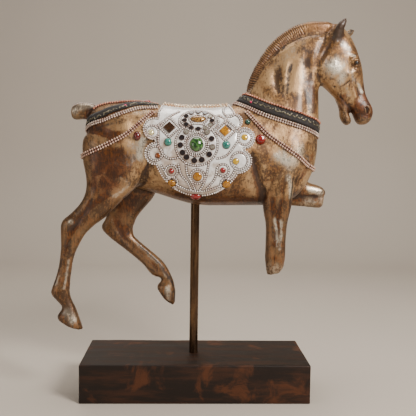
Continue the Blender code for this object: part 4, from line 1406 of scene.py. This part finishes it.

# %% [markdown]
# ## Small mirrors
#
# Eleven round mirrors lie in the ring and twelve in the oval. Each is a thin disc with an eased edge in
# a fine raised ring. Their colours are painted reflections: most are painted nearly black, and a few pale,
# as if they caught the light. Their places are angles, measured from the front and upwards.

# %% Shape plates and rings
RING_ANGLES = (20.8, 49.3, 130.4, 156.6, 183.5, 211, 232.7, 262.8, 289.9, 322.6, 351.2)
# Mirrors of the ring that get a painted reflection of the light, pale instead of dark.
RING_REFLECTING_LIGHT = (49.3, 130.4, 351.2)
RING_REACH = 18.4
RING_MIRROR = 2.9
OVAL_CENTRE = (-0.3, 328.4)
OVAL_ANGLES = range(0, 360, 30)
# Mirrors of the oval that get a painted reflection of the light, pale instead of dark.
OVAL_REFLECTING_LIGHT = (30, 300, 330)
OVAL_REACH = 15.9
OVAL_FLAT = 0.62
OVAL_MIRROR = 2.5
MIRROR_LIFT = 1.7
MIRROR_DEPTH = 0.8
MIRROR_RING_LIFT = 1.1
RING_WIRE = 0.7
DISC_SIDES = 16
print("mirrors round the green stone:", len(RING_ANGLES), "and in the oval:", len(OVAL_ANGLES))


def surface_frame(x, z, side, lift):
    """A frame on the saddle's face, as seen from one side, lifted by millimetres."""
    spot, outward = on_side(sheet_skin, x, z, side)
    return standing_on(spot + outward * lift * MM, Vector((1, 0, 0)), outward)


def add_disc(bm, frame_here, radius):
    """A round plate whose upper edge is eased."""
    bmesh.ops.create_cone(
        bm, cap_ends=True, segments=DISC_SIDES, radius1=radius * MM, radius2=radius * 0.9 * MM,
        depth=MIRROR_DEPTH * MM, matrix=frame_here,
    )  # fmt: skip


def add_ring(bm, frame_here, radius, stretch=(1, 1), sides=20):
    """A wire ring that lies flat: a small circle spun round the frame's third axis."""
    ring = bmesh.new()
    section = Matrix.Translation((radius * MM, 0, 0)) @ Matrix.Rotation(math.pi / 2, 4, "X")
    bmesh.ops.create_circle(ring, segments=6, radius=RING_WIRE / 2 * MM, matrix=section)
    bmesh.ops.spin(
        ring, geom=ring.edges[:] + ring.verts[:], axis=(0, 0, 1), cent=(0, 0, 0),
        angle=2 * math.pi, steps=sides,
    )  # fmt: skip
    bmesh.ops.remove_doubles(ring, verts=ring.verts, dist=WELD)
    bmesh.ops.scale(ring, verts=ring.verts, vec=(*stretch, 1))
    bmesh.ops.transform(ring, verts=ring.verts, matrix=frame_here)
    bmesh.ops.recalc_face_normals(ring, faces=ring.faces)
    mesh = as_mesh(ring, "ring")
    bm.from_mesh(mesh)
    bpy.data.meshes.remove(mesh)


# %% [markdown]
# ## Glass over foil
#
# A mirror or a stone is coloured glass with foil behind it: deep colour with faint veins, a hard shine and a
# clear coat. A little metal stands for the foil. One recipe serves every stone, in its own colours.

# %% Mix glass and set the small mirrors
def glass(name, light, dark, grain=0.003, roughness=0.08, metallic=0.0):
    """Coloured glass over foil: deep colour, a hard shine and a clear coat."""
    made = Finish(name, Coat_Weight=0.8, Coat_Roughness=0.04, Specular_IOR_Level=0.6)
    veins = made.cloud(grain, detail=4.0, roughness=0.6, distortion=0.8)
    made.give(
        {
            "Base_Color": made.mix(made.fade(veins, 0.40, 0.62), light, dark),
            "Roughness": roughness + veins * 0.08,
            "Metallic": metallic,
            "Normal": made.bump(veins, 0.0001),
        }
    )
    return made


dark_discs = bmesh.new()
light_reflection_discs = bmesh.new()
disc_rings = bmesh.new()
mirror_spots = []
for angle in RING_ANGLES:
    spot = arc(RING_CENTRE, RING_REACH, angle, angle + 1)[0]
    mirror_spots.append((*spot, RING_MIRROR, angle in RING_REFLECTING_LIGHT))
for angle in OVAL_ANGLES:
    spot = arc(OVAL_CENTRE, OVAL_REACH, angle, angle + 1, OVAL_FLAT)[0]
    mirror_spots.append((*spot, OVAL_MIRROR, angle in OVAL_REFLECTING_LIGHT))
for x, z, radius, pale in mirror_spots:
    for side in BOTH:
        add_disc(light_reflection_discs if pale else dark_discs, surface_frame(x, z, side, MIRROR_LIFT), radius)
        add_ring(disc_rings, surface_frame(x, z, side, MIRROR_RING_LIFT), radius + 0.3)
# Painted reflections: dark glass for the mirrors that would show the dim room, pale glass for those that would
# catch the light.
dark_mirror = glass("dark_mirror", tone(20, 14, 16), tone(36, 24, 24), roughness=0.05)
pale_mirror = glass(
    "painted_reflection_glass", tone(206, 200, 186), tone(150, 138, 120), roughness=0.1, metallic=0.7
)
add_piece("dark_mirrors", dark_discs, dark_mirror, sharp=True)
add_piece("painted_reflection_mirrors", light_reflection_discs, pale_mirror, sharp=True)
add_piece("mirror_rings", disc_rings, ring_finish)

# %% [markdown]
# ## The coloured stones
#
# Each stone is measured in the frame: its largest flat face is its back, which gives its place and its
# facing, and its reach from there gives its width, height and rise. Round stones become smooth domes,
# square ones bevelled plates, and the cut stone keeps its facets with a bevelled edge. A small metal
# collar closes the gap between each round stone and the surface.

# %% Measure and shape the stones
DOME_SIDES = (28, 18)
COLLET_SIDES = 24
COLLET_DEPTH = 1.6
FLAT_ENOUGH = 0.01
PLATE_BEVEL = 0.35
print("sides of a dome:", DOME_SIDES, "and of a collet:", COLLET_SIDES)


def measured_stone(node):
    """A stone's frame, half width, half height and rise, read from its solid in the frame."""
    bm = merged_copy(node)
    bmesh.ops.dissolve_limit(bm, angle_limit=FLAT_ENOUGH, verts=bm.verts, edges=bm.edges)
    back = max(bm.faces, key=lambda face: face.calc_area())
    outward = -back.normal.normalized()
    corners = [vert.co.copy() for vert in back.verts]
    centre = sum(corners, Vector()) / len(corners)
    upright = Vector((0, 1, 0)) if abs(outward.z) > 0.85 else Vector((0, 0, 1))
    right = upright.cross(outward).normalized()
    up = outward.cross(right)
    half_width = max(abs((corner - centre).dot(right)) for corner in corners)
    half_height = max(abs((corner - centre).dot(up)) for corner in corners)
    rise = max((vert.co - centre).dot(outward) for vert in bm.verts)
    bm.free()
    turn = Matrix((right, up, outward)).transposed().to_4x4()
    return Matrix.Translation(centre) @ turn, half_width, half_height, rise


def dome(place, half_width, half_height, rise):
    """Half an ellipsoid on its flat back."""
    bm = bmesh.new()
    bmesh.ops.create_uvsphere(bm, u_segments=DOME_SIDES[0], v_segments=DOME_SIDES[1], radius=1)
    everything = bm.verts[:] + bm.edges[:] + bm.faces[:]
    bmesh.ops.bisect_plane(bm, geom=everything, plane_co=(0, 0, 0), plane_no=(0, 0, -1), clear_outer=True)
    bmesh.ops.holes_fill(bm, edges=[edge for edge in bm.edges if edge.is_boundary])
    bmesh.ops.scale(bm, verts=bm.verts, vec=(half_width, half_height, rise))
    bmesh.ops.transform(bm, verts=bm.verts, matrix=place)
    bmesh.ops.recalc_face_normals(bm, faces=bm.faces)
    return bm


def cut_plate(node):
    """A square or cut stone: its own solid with bevelled edges."""
    bm = merged_copy(node)
    bmesh.ops.dissolve_limit(bm, angle_limit=FLAT_ENOUGH, verts=bm.verts, edges=bm.edges)
    bmesh.ops.bevel(
        bm, geom=bm.edges[:], offset=PLATE_BEVEL * MM, segments=2, profile=0.5, affect="EDGES", material=-1
    )
    return bm


def add_collet(bm, place, half_width, half_height):
    """The metal collar round a stone's foot."""
    squeeze = half_height / half_width
    add_ring(bm, place, half_width / MM + 0.1, stretch=(1, squeeze), sides=COLLET_SIDES)
    foot = Matrix.Translation((0, 0, -COLLET_DEPTH / 2 * MM)) @ Matrix.Diagonal((1, squeeze, 1, 1))
    bmesh.ops.create_cone(
        bm, cap_ends=True, segments=COLLET_SIDES, radius1=half_width + 0.4 * MM,
        radius2=half_width + 0.1 * MM, depth=COLLET_DEPTH * MM, matrix=place @ foot,
    )  # fmt: skip


# %% [markdown]
# ## A colour for each stone
#
# Stones that share a slot share a glass, and a few have one of their own. A stone is written as (slot,
# shape), and is set on both sides by its name. The croup stone lies on the middle line, so it is set once.

# %% Mix the stones' glasses
GLASSES = {
    "green_glass": glass("green_glass", tone(10, 48, 18), tone(76, 126, 54), grain=0.0040),
    "turquoise": glass("turquoise_stone", tone(18, 98, 88), tone(52, 140, 126), grain=0.002, roughness=0.2),
    "red_glass": glass("red_glass", tone(112, 8, 8), tone(160, 26, 20), grain=0.004),
    "amber_glass": glass("amber_glass", tone(196, 136, 20), tone(150, 92, 10), grain=0.0024, metallic=0.2),
    "brown_glass": glass("brown_glass", tone(74, 44, 14), tone(46, 26, 8), grain=0.0022, metallic=0.3),
}
YELLOW = glass("yellow_mirror_glass", tone(228, 188, 50), tone(190, 146, 30), grain=0.0024, metallic=0.3)
PALE = glass("cream_mirror_glass", tone(236, 226, 176), tone(206, 190, 130), grain=0.002, metallic=0.4)
ORANGE = glass("orange_mirror_glass", tone(150, 78, 20), tone(96, 46, 14), grain=0.002, metallic=0.3)
MOSAIC = glass("mosaic_glass", tone(196, 150, 78), tone(72, 36, 16), grain=0.0020, metallic=0.4)
DARK_RED = glass("dark_red_glass", tone(70, 8, 10), tone(104, 20, 18), grain=0.003)
DARK_GREEN = glass("dark_green_glass", tone(10, 58, 46), tone(24, 86, 70), grain=0.002)
OWN_GLASS = {
    "yellow_mirror_low": YELLOW,
    "yellow_mirror_high": YELLOW,
    "pale_mirror": PALE,
    "orange_mirror": ORANGE,
    "oval_stone": MOSAIC,
    "dark_red_stone": DARK_RED,
    "dark_green_bead": DARK_GREEN,
}
print("glasses for the stones:", len(GLASSES), "shared, and", len(OWN_GLASS), "stones with their own")

# %% [markdown]
# ## Setting the stones
#
# Each solid stone of the frame gives way to a finished one at the same place, and all the collets are one
# piece, since they are alike and never move.

# %% Set the stones
STONES = {
    "green_cabochon": ("green_glass", "dome"),
    "oval_stone": ("brown_glass", "dome"),
    "brown_diamond": ("brown_glass", "plate"),
    "amber_diamond": ("amber_glass", "plate"),
    "turquoise_rear": ("turquoise", "dome"),
    "turquoise_front": ("turquoise", "dome"),
    "red_bead_rear": ("red_glass", "dome"),
    "red_bead_front": ("red_glass", "dome"),
    "amber_middle": ("amber_glass", "dome"),
    "amber_front": ("amber_glass", "dome"),
    "amber_rear": ("amber_glass", "dome"),
    "yellow_mirror_low": ("amber_glass", "dome"),
    "yellow_mirror_high": ("amber_glass", "dome"),
    "pale_mirror": ("amber_glass", "dome"),
    "orange_mirror": ("brown_glass", "dome"),
    "red_oval_stone": ("red_glass", "dome"),
    "red_faceted_stone": ("red_glass", "plate"),
    "dark_green_bead": ("turquoise", "dome"),
    "dark_red_stone": ("red_glass", "dome"),
}
collets = bmesh.new()
for name, (stone_slot, shape) in STONES.items():
    for node in both_sides(name):
        place, half_width, half_height, rise = measured_stone(node)
        stone_bm = dome(place, half_width, half_height, rise) if shape == "dome" else cut_plate(node)
        own = OWN_GLASS.get(name, GLASSES[stone_slot])
        add_piece(f"{node}_gem", stone_bm, own, [node], sharp=True)
        if shape == "dome":
            add_collet(collets, place, half_width, half_height)
place, half_width, half_height, rise = measured_stone("croup_stone")
croup_dome = dome(place, half_width, half_height, rise)
add_piece("croup_gem", croup_dome, GLASSES["red_glass"], ["croup_stone"])
add_collet(collets, place, half_width, half_height)
collet_finish = bead_finish("collet_metal", tone(120, 96, 76), tone(62, 42, 30), 0.7, 0.3)
add_piece("stone_collets", collets, collet_finish, sharp=True)

# %% [markdown]
# ## Bands and straps
#
# The harness is laid like the wires, on lines in space near the skin. The bands are velvet ribbons, made
# from a grid across the line and given a thickness. The straps are two rows of balls on a dark ribbon.
# Rows of small copper beads edge the bands above, and pale balls edge them below. A point of a line is
# (along, up, across), on the far half of the horse where across is positive.

# %% Draw the harness
COLLAR_LINE = (
    (48.5, 359, 0), (54, 356, -10), (63, 352, -18), (78, 345.5, -25), (94.5, 340, -28),
    (111, 335, -29), (128, 329.5, -26), (139, 325, -17), (145, 322.5, -7), (146, 322, 0),
)  # fmt: skip
BREAST_LINE = (
    (56, 340, -25.5), (66, 328.5, -31.5), (78, 316, -35), (90, 307, -36), (106.5, 296, -37),
    (120, 286.5, -35), (133, 277.5, -23), (140, 274.5, -10), (142.5, 273.5, 0),
)  # fmt: skip
HIP_LINE = (
    (-53, 337.5, -28), (-62.5, 329, -35), (-75, 317.5, -40.5), (-88, 308, -42.5), (-105, 299, -43),
    (-123, 291, -38.5), (-134, 285.5, -24), (-136, 284, 0),
)  # fmt: skip
CRUPPER_LINE = (
    (-49, 346.5, -12), (-70, 347.5, -18.5), (-85, 344, -25), (-98, 340, -28), (-112, 335, -31),
    (-121, 330.5, -27), (-129.5, 325.5, -16), (-133, 321.5, -7), (-133.5, 320.5, 0),
)  # fmt: skip
CRUPPER_TRIM_LINE = (
    (-49, 342.5, -19.5), (-70, 341.5, -27.5), (-82, 338, -32), (-95, 332.5, -36), (-110, 327.5, -35.5),
    (-121, 324, -30), (-129.5, 319, -17), (-133, 315.5, -7), (-133.5, 314.5, 0),
)  # fmt: skip
CRUPPER_EDGE_LINE = (
    (-49, 348.8, -5), (-70, 351.5, -8), (-84, 350.5, -12), (-98, 348.5, -14), (-110, 346, -14),
    (-122, 341.5, -13),
)  # fmt: skip
print("points on the collar's line:", len(COLLAR_LINE), "and on the crupper's:", len(CRUPPER_LINE))

# %% [markdown]
# ## Ribbons on the skin
#
# A ribbon starts as a grid that is as long as its line. Each of its points is stepped across the line and
# dropped onto the skin, so the band follows every swell, and then it gets its thickness.

# %% Lay a line and a ribbon on the skin
TAUT_ACROSS = 13
RIBBON_STEP = 1.6
RIBBON_COLUMNS = 4
RIBBON_SUNK = -0.3
VELVET_THICKNESS = 1.9
COLLAR_EDGES = (-5.3, 5.3)
CRUPPER_EDGES = (-3.9, 5.6)


def wrapped(line, mirrored=True, taut=0):
    """A harness line on the skin, with its far half where it is mirrored."""
    fine = [spot_at(*point) for point in smooth_curve(line)]
    if mirrored:
        fine += [Vector((spot.x, -spot.y, spot.z)) for spot in fine[-2::-1]]
    laid_spots = [horse_skin.find_nearest(spot)[0] for spot in fine]
    return [spot for spot in laid_spots if abs(spot.y) > taut * MM or not taut]


def ribbon(line, edges, thickness, closed=False, taut=False):
    """A band of even width on the skin; its edges and thickness are in millimetres."""
    stations = walk(line, RIBBON_STEP * MM, closed)
    if closed:
        stations.append(stations[0])
    bm = bmesh.new()
    bmesh.ops.create_grid(bm, x_segments=len(stations) - 1, y_segments=RIBBON_COLUMNS, size=1)
    for vert in bm.verts:
        number = round((vert.co.x + 1) / 2 * (len(stations) - 1))
        share = (vert.co.y + 1) / 2
        spot, onward = stations[number]
        outward = horse_skin.find_nearest(spot)[1]
        across = up_across(onward, outward)
        wanted = spot + across * (edges[0] + (edges[1] - edges[0]) * share) * MM
        ground, outward = horse_skin.find_nearest(wanted)[:2]
        if taut and abs(spot.y) < TAUT_ACROSS * MM:
            ground = wanted
        vert.co = ground + outward * (RIBBON_SUNK + thickness) * MM
    bmesh.ops.remove_doubles(bm, verts=bm.verts, dist=WELD)
    bmesh.ops.recalc_face_normals(bm, faces=bm.faces)
    bm.normal_update()
    facing = sum(face.normal.dot(horse_skin.find_nearest(face.calc_center_median())[1]) for face in bm.faces)
    if facing < 0:
        bmesh.ops.reverse_faces(bm, faces=bm.faces)
    thicken(bm, thickness * MM)
    return bm


# %% [markdown]
# ## Velvet bands
#
# The collar goes once round the neck's foot, so its line is closed. The other lines run over the skin from
# the near side to the far one. The hip strap is taut behind, so its points near the middle line are left
# out. The velvet is nearly black, with dusty patches and a short nap.

# %% Lay the velvet bands
collar = wrapped(COLLAR_LINE)[:-1]
collar.append(collar[0])
breast = wrapped(BREAST_LINE)
hip = wrapped(HIP_LINE, taut=TAUT_ACROSS)
crupper = wrapped(CRUPPER_LINE)
crupper_trim = wrapped(CRUPPER_TRIM_LINE)
crupper_edges = {
    "near": wrapped(CRUPPER_EDGE_LINE, mirrored=False),
    "far": wrapped([(x, z, -y) for x, z, y in CRUPPER_EDGE_LINE], mirrored=False),
}

velvet = Finish("black_velvet", Sheen_Weight=0.08, Sheen_Roughness=0.5)
velvet_nap = velvet.cloud(0.0008, detail=2.0)
velvet_patch = velvet.cloud(0.006, detail=4.0)
velvet_colour = velvet.mix(velvet.fade(velvet_nap, 0.40, 0.62), tone(12, 9, 9), tone(34, 25, 23))
velvet_dust = velvet.fade(velvet_patch, 0.56, 0.70) * 0.5
velvet.give(
    {
        "Base_Color": velvet.mix(velvet_dust, velvet_colour, tone(66, 50, 40)),
        "Roughness": 0.82 - velvet_nap * 0.15,
        "Normal": velvet.bump(velvet_nap, 0.0002),
    }
)
collar_ribbon = ribbon(collar, COLLAR_EDGES, VELVET_THICKNESS, closed=True)
crupper_ribbon = ribbon(crupper, CRUPPER_EDGES, VELVET_THICKNESS)
add_piece("collar_ribbon", collar_ribbon, velvet, ["collar_band"])
add_piece("crupper_ribbon", crupper_ribbon, velvet, ["crupper_band"])

# %% [markdown]
# ## The rows of balls
#
# The straps are two rows of pale balls side by side on a dark ribbon, and the ribbon shows between them
# as red-brown gaps. The trims and cords are rows of the same kind, in other sizes and colours.

# %% String the harness
BALL_SIDES = (10, 6)
BALL_STEP = 1.16
BACKING_THICKNESS = 1.1
BACKING_MARGIN = 0.35

backing = Finish("backing_ribbon", Roughness=0.8)
backing_weave = backing.cloud(0.0010, detail=2.0)
backing.give(
    {
        "Base_Color": backing.mix(backing.fade(backing_weave, 0.4, 0.6), tone(48, 18, 14), tone(78, 34, 26)),
        "Normal": backing.bump(backing_weave, 0.0002),
    }
)
strap_finish = bead_finish("strap_balls", tone(214, 184, 164), tone(160, 112, 94), 0.3, 0.3)
pearl_finish = bead_finish("pearl_balls", tone(214, 196, 182), tone(166, 130, 116), 0.25, 0.28)
copper_finish = bead_finish("copper_cord", tone(206, 146, 118), tone(160, 84, 62), 0.35, 0.32)
STRAP = (strap_finish, "ball_chain")
PEARLS = (pearl_finish, "pearl_beads")
COPPER = (copper_finish, "copper_beads")


def ball_rows(name, replaced, line, asides, size, kind, closed=False, taut=False):
    """Rows of balls on a backing ribbon; each row lies aside of the line by millimetres."""
    finish, slot = kind
    rows = []
    for aside in asides:
        rows.append(
            string_beads(
                line, horse_skin, size * BALL_STEP, (size,) * 3,
                sides=BALL_SIDES, closed=closed, lift=0.5, aside=aside,
            )
        )  # fmt: skip
    add_piece(f"{name}_balls", gathered(rows), finish, [replaced])
    half = size * len(asides) / 2 - BACKING_MARGIN
    middle = sum(asides) / len(asides)
    back = ribbon(line, (middle - half, middle + half), BACKING_THICKNESS, closed, taut)
    add_piece(f"{name}_backing", back, backing)


ball_rows("breast", "breast_strap", breast, (-1.5, 1.5), 2.7, STRAP)
ball_rows("hip", "hip_strap", hip, (-1.5, 1.5), 2.7, STRAP, taut=True)
ball_rows("collar_trim", "collar_trim", collar, (-7.5, -10.2), 2.5, PEARLS, closed=True)
ball_rows("collar_cord", "collar_cord", collar, (7.4,), 2.9, COPPER, closed=True)
ball_rows("crupper_trim", "crupper_trim", crupper_trim, (1.3, -1.3), 2.5, PEARLS)
for side_name, line in crupper_edges.items():
    name = f"crupper_cord_{side_name}"
    ball_rows(name, name, line, (1.2, -1.2), 2.4, COPPER)

# %% [markdown]
# ## Sequins on the velvet
#
# Small metal leaves are sewn along the bands in pairs, darkened with age. The thread has let each pair turn
# its own way, which smooth noise does here. Each row of leaves is (line, step, closed or not). On each side,
# one bright pink stud sits on the collar near the withers, and one on the crupper's band.

# %% Sew the sequins
LEAF_ROWS = ((collar, 6.0, True), (crupper, 6.5, False))
LEAF_SIZE = (2.4, 0.95, 0.5)
LEAF_TURNS = (40, 140)
LEAF_SWAY = 85
LEAF_LIFT = 1.7
SWAY_GRAIN = 0.004
STUDS = ((62, 352, 18), (-85, 344.5, 25))
STUD_SIZE = (1.5, 1.5, 0.8)
STUD_LIFT = 1.8


def sewn(spot, onward, lift):
    """A frame on the velvet above this spot of the skin."""
    ground, outward = horse_skin.find_nearest(spot)[:2]
    return standing_on(ground + outward * lift * MM, onward, outward)


def sequins():
    """The metal leaves on both bands."""
    bm = bmesh.new()
    shape = scaled_ball(LEAF_SIZE)
    for line, step, closed in LEAF_ROWS:
        for spot, onward in walk(line, step * MM, closed):
            sway = noise.noise(spot / SWAY_GRAIN) * LEAF_SWAY
            for turn in LEAF_TURNS:
                place = sewn(spot, onward, LEAF_LIFT) @ Matrix.Rotation(math.radians(turn + sway), 4, "Z")
                place @= Matrix.Translation((LEAF_SIZE[0] * 0.8 * MM, 0, 0))
                bmesh.ops.create_uvsphere(bm, u_segments=8, v_segments=5, radius=1, matrix=place @ shape)
    return bm


def studs():
    """The pink studs, on both sides."""
    bm = bmesh.new()
    shape = scaled_ball(STUD_SIZE)
    for x, z, y in STUDS:
        for side in BOTH:
            place = sewn(spot_at(x, z, side * y), Vector((1, 0, 0)), STUD_LIFT)
            bmesh.ops.create_uvsphere(bm, u_segments=12, v_segments=7, radius=1, matrix=place @ shape)
    return bm


leaf_finish = bead_finish("sequin_leaves", tone(124, 116, 94), tone(52, 46, 36), 0.5, 0.34)
stud_finish = bead_finish("pink_studs", tone(206, 40, 96), tone(150, 24, 62), 0.4, 0.2)
add_piece("sequin_leaves", sequins(), leaf_finish)
add_piece("pink_studs", studs(), stud_finish)

# %% [markdown]
# ## The block and the rod
#
# The stand is a plain wooden block under a worn dark finish, so its edges are a little rounded and never
# quite straight. The block is cut into small faces, so that noise can wear it. The rod is turned bronze and
# runs from the block up into the belly.

# %% Shape the block and the rod
EDGE_ROUND = 0.0016
BLOCK_GRAIN = 0.006
BLOCK_WEAR = 0.0005
WEAR_GRAIN = 0.03
ROD_SIDES = 48


def block():
    """The wooden block, rounded and worn, with its underside left flat."""
    bm = bmesh.new()
    size = base_box[1] - base_box[0]
    middle = (base_box[0] + base_box[1]) / 2
    place = Matrix.Translation(middle) @ Matrix.Diagonal((*size, 1))
    bmesh.ops.create_cube(bm, size=1, matrix=place)
    bmesh.ops.bevel(
        bm, geom=bm.edges[:], offset=EDGE_ROUND, segments=3, profile=0.5, affect="EDGES", material=-1
    )
    for axis in range(3):
        cuts = int(size[axis] / BLOCK_GRAIN)
        normal = Vector([float(axis == other) for other in range(3)])
        for number in range(1, cuts):
            spot = base_box[0].lerp(base_box[1], number / cuts)
            everything = bm.verts[:] + bm.edges[:] + bm.faces[:]
            bmesh.ops.bisect_plane(bm, geom=everything, plane_co=spot, plane_no=normal, dist=WELD)
    bm.normal_update()
    for vert in bm.verts:
        worn = 0.5 + 0.5 * noise.noise(vert.co / WEAR_GRAIN)
        if vert.co.z > base_box[0].z + EDGE_ROUND:
            vert.co -= vert.normal * BLOCK_WEAR * worn
    return bm


def rod():
    """The turned rod, from the bottom of its hole to its top inside the horse."""
    bm = bmesh.new()
    height = rod_box[1].z - rod_box[0].z
    place = Matrix.Translation((ROD_X, 0, (rod_box[0].z + rod_box[1].z) / 2))
    bmesh.ops.create_cone(
        bm, cap_ends=True, segments=ROD_SIDES, radius1=ROD_RADIUS, radius2=ROD_RADIUS,
        depth=height, matrix=place,
    )  # fmt: skip
    return bm


print("the rod is", round(2 * ROD_RADIUS / MM, 1), "mm thick")

# %% [markdown]
# ## Dark wood and bronze
#
# The wood is nearly black brown, with a grain along the block and warmer patches where the stain has worn
# thin. The bronze is brown too, streaked along the rod from the turning.

# %% Finish the block and the rod
wood = Finish("espresso_wood", Coat_Roughness=0.4, Specular_IOR_Level=0.3)
wood_fine = wood.cloud(0.0016, detail=3.0)
wood_grain = wood.cloud(0.010, detail=6.0, roughness=0.62, points=wood.points(stretch=(0.14, 1, 1)))
wood_patch = wood.cloud(0.040, detail=5.0, roughness=0.62, distortion=0.6)
wood_colour = wood.mix(wood.fade(wood_grain, 0.42, 0.66), tone(26, 15, 9), tone(54, 30, 16))
wood_colour = wood.mix(wood.fade(wood_patch, 0.54, 0.66) * 0.6, wood_colour, tone(92, 50, 24))
wood.give(
    {
        "Base_Color": wood_colour,
        "Roughness": 0.55 + (wood_grain - 0.5) * 0.3,
        "Coat_Weight": 0.03,
        "Normal": wood.bump(wood_grain * 0.7 + wood_fine * 0.3, 0.0003),
    }
)
add_piece("stand_block", block(), wood, ["base"])

bronze = Finish("dark_bronze", Metallic=0.85, Specular_IOR_Level=0.5)
bronze_streaks = bronze.cloud(0.006, detail=5.0, points=bronze.points(stretch=(1, 1, 0.12)))
bronze_spots = bronze.cloud(0.004, detail=4.0, roughness=0.6)
bronze_colour = bronze.mix(bronze.fade(bronze_streaks, 0.40, 0.64), tone(70, 52, 38), tone(112, 84, 58))
bronze_stain = bronze.fade(bronze_spots, 0.58, 0.70) * 0.5
bronze.give(
    {
        "Base_Color": bronze.mix(bronze_stain, bronze_colour, tone(40, 30, 24)),
        "Roughness": 0.24 + (bronze_streaks - 0.5) * 0.3,
        "Normal": bronze.bump(bronze_spots, 0.00012),
    }
)
add_piece("stand_rod", rod(), bronze, ["rod"], sharp=True)

# %% [markdown]
# ## A pale floor and backdrop
#
# One curved sheet of paper is floor and backdrop at once, so that no corner shows behind the statue.

# %% Hang the paper
FLOOR_REACH = 4.0
SWEEP_BACK = 0.9
SWEEP_ROUND = 0.35
SWEEP_TOP = 2.2
SWEEP_STEPS = 12


def sweep():
    """Floor and backdrop in one curved sheet."""
    bm = bmesh.new()
    profile = [Vector((-FLOOR_REACH, -FLOOR_REACH, 0))]
    for step in range(SWEEP_STEPS + 1):
        angle = math.radians(90) * step / SWEEP_STEPS
        back = SWEEP_BACK + SWEEP_ROUND * math.sin(angle)
        profile.append(Vector((-FLOOR_REACH, back, SWEEP_ROUND * (1 - math.cos(angle)))))
    profile.append(Vector((-FLOOR_REACH, SWEEP_BACK + SWEEP_ROUND, SWEEP_TOP)))
    verts = [bm.verts.new(point) for point in profile]
    edges = [bm.edges.new(pair) for pair in zip(verts, verts[1:])]
    made = bmesh.ops.extrude_edge_only(bm, edges=edges)
    across = [part for part in made["geom"] if isinstance(part, bmesh.types.BMVert)]
    bmesh.ops.translate(bm, verts=across, vec=(2 * FLOOR_REACH, 0, 0))
    bmesh.ops.recalc_face_normals(bm, faces=bm.faces)
    return bm


paper = Finish("pale_paper", Roughness=0.75)
paper_cloud = paper.cloud(0.5, detail=2.0)
paper.give({"Base_Color": paper.mix(paper_cloud, tone(190, 180, 168), tone(202, 192, 180))})
sweep_mesh = as_mesh(sweep(), "studio_sweep")
sweep_mesh.materials.append(paper.material)
sweep_mesh.shade_smooth()
studio = bpy.data.objects.new("studio_sweep", sweep_mesh)
bpy.context.scene.collection.objects.link(studio)
studio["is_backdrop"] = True
print("the paper's faces:", len(sweep_mesh.polygons))

# %% [markdown]
# ## Soft light
#
# Soft light from the upper right makes the main shine, a weaker one fills from the left, a broad one hangs
# above, and a small one lights the edges from behind. Each light is (place, power, width and height). A dim
# warm sky fills the rest.

# %% Hang the lights
AIM = Vector((0, 0, 0.24))
LIGHT_COLOUR = (1.0, 0.95, 0.89)
LIGHTS = {
    "key": ((0.75, -0.85, 0.95), 23.0, (0.4, 0.5)),
    "fill": ((-1.1, -0.9, 0.45), 2.5, (0.5, 0.7)),
    "top": ((0.0, 0.1, 1.3), 7.0, (0.8, 0.5)),
    "rim": ((-0.4, 0.75, 0.9), 2.0, (0.6, 0.4)),
}
SKY_COLOUR = (1.0, 0.94, 0.87, 1.0)
SKY_STRENGTH = 0.27


def soft_light(name, place, power, size):
    """A soft rectangle of light that faces the statue."""
    light = bpy.data.lights.new(name, "AREA")
    light.color = LIGHT_COLOUR
    light.shape = "RECTANGLE"
    light.size, light.size_y = size
    light.energy = power
    lamp = bpy.data.objects.new(name, light)
    lamp.location = place
    lamp.rotation_euler = (AIM - Vector(place)).to_track_quat("-Z", "Y").to_euler()
    bpy.context.scene.collection.objects.link(lamp)


for name, (place, power, size) in LIGHTS.items():
    soft_light(name, place, power, size)

world = bpy.data.worlds.new("studio")
world.use_nodes = True
sky = world.node_tree.nodes["Background"]
sky.inputs["Color"].default_value = SKY_COLOUR
sky.inputs["Strength"].default_value = SKY_STRENGTH
bpy.context.scene.world = world

print("lights:", ", ".join(LIGHTS))

# %% [markdown]
# ## The camera
#
# The camera stands close to the horse's middle, a little above it, and looks slightly down. Its lens is a
# little longer than a normal one, and it leans by less than a degree.

# %% Set up the camera
CAMERA_PLACE = Vector((-0.01403, -0.76157, 0.28190))
CAMERA_YAW = math.radians(2.079)
CAMERA_DROP = math.radians(4.255)
CAMERA_ROLL = math.radians(0.835)
CAMERA_LENS = 54.14
SENSOR_WIDTH = 36

camera = bpy.data.cameras.new("camera")
camera.lens = CAMERA_LENS
camera.sensor_width = SENSOR_WIDTH
watcher = bpy.data.objects.new("camera", camera)
turned = Matrix.Rotation(-CAMERA_YAW, 4, "Z") @ Matrix.Rotation(math.radians(90) - CAMERA_DROP, 4, "X")
watcher.matrix_world = Matrix.Translation(CAMERA_PLACE) @ turned @ Matrix.Rotation(CAMERA_ROLL, 4, "Z")
bpy.context.scene.collection.objects.link(watcher)
bpy.context.scene.camera = watcher
print("camera", [round(value, 3) for value in watcher.location])

# %% [markdown]
# ## The sizes
#
# The dressed statue should fill the same box as the imported model; both boxes are printed.

# %% Print the boxes
boxes = {"frame": [list(corner) for corner in cad_box], "visual": [list(corner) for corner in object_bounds()]}
for name, box in boxes.items():
    print(name, [[round(value, 4) for value in corner] for corner in box])
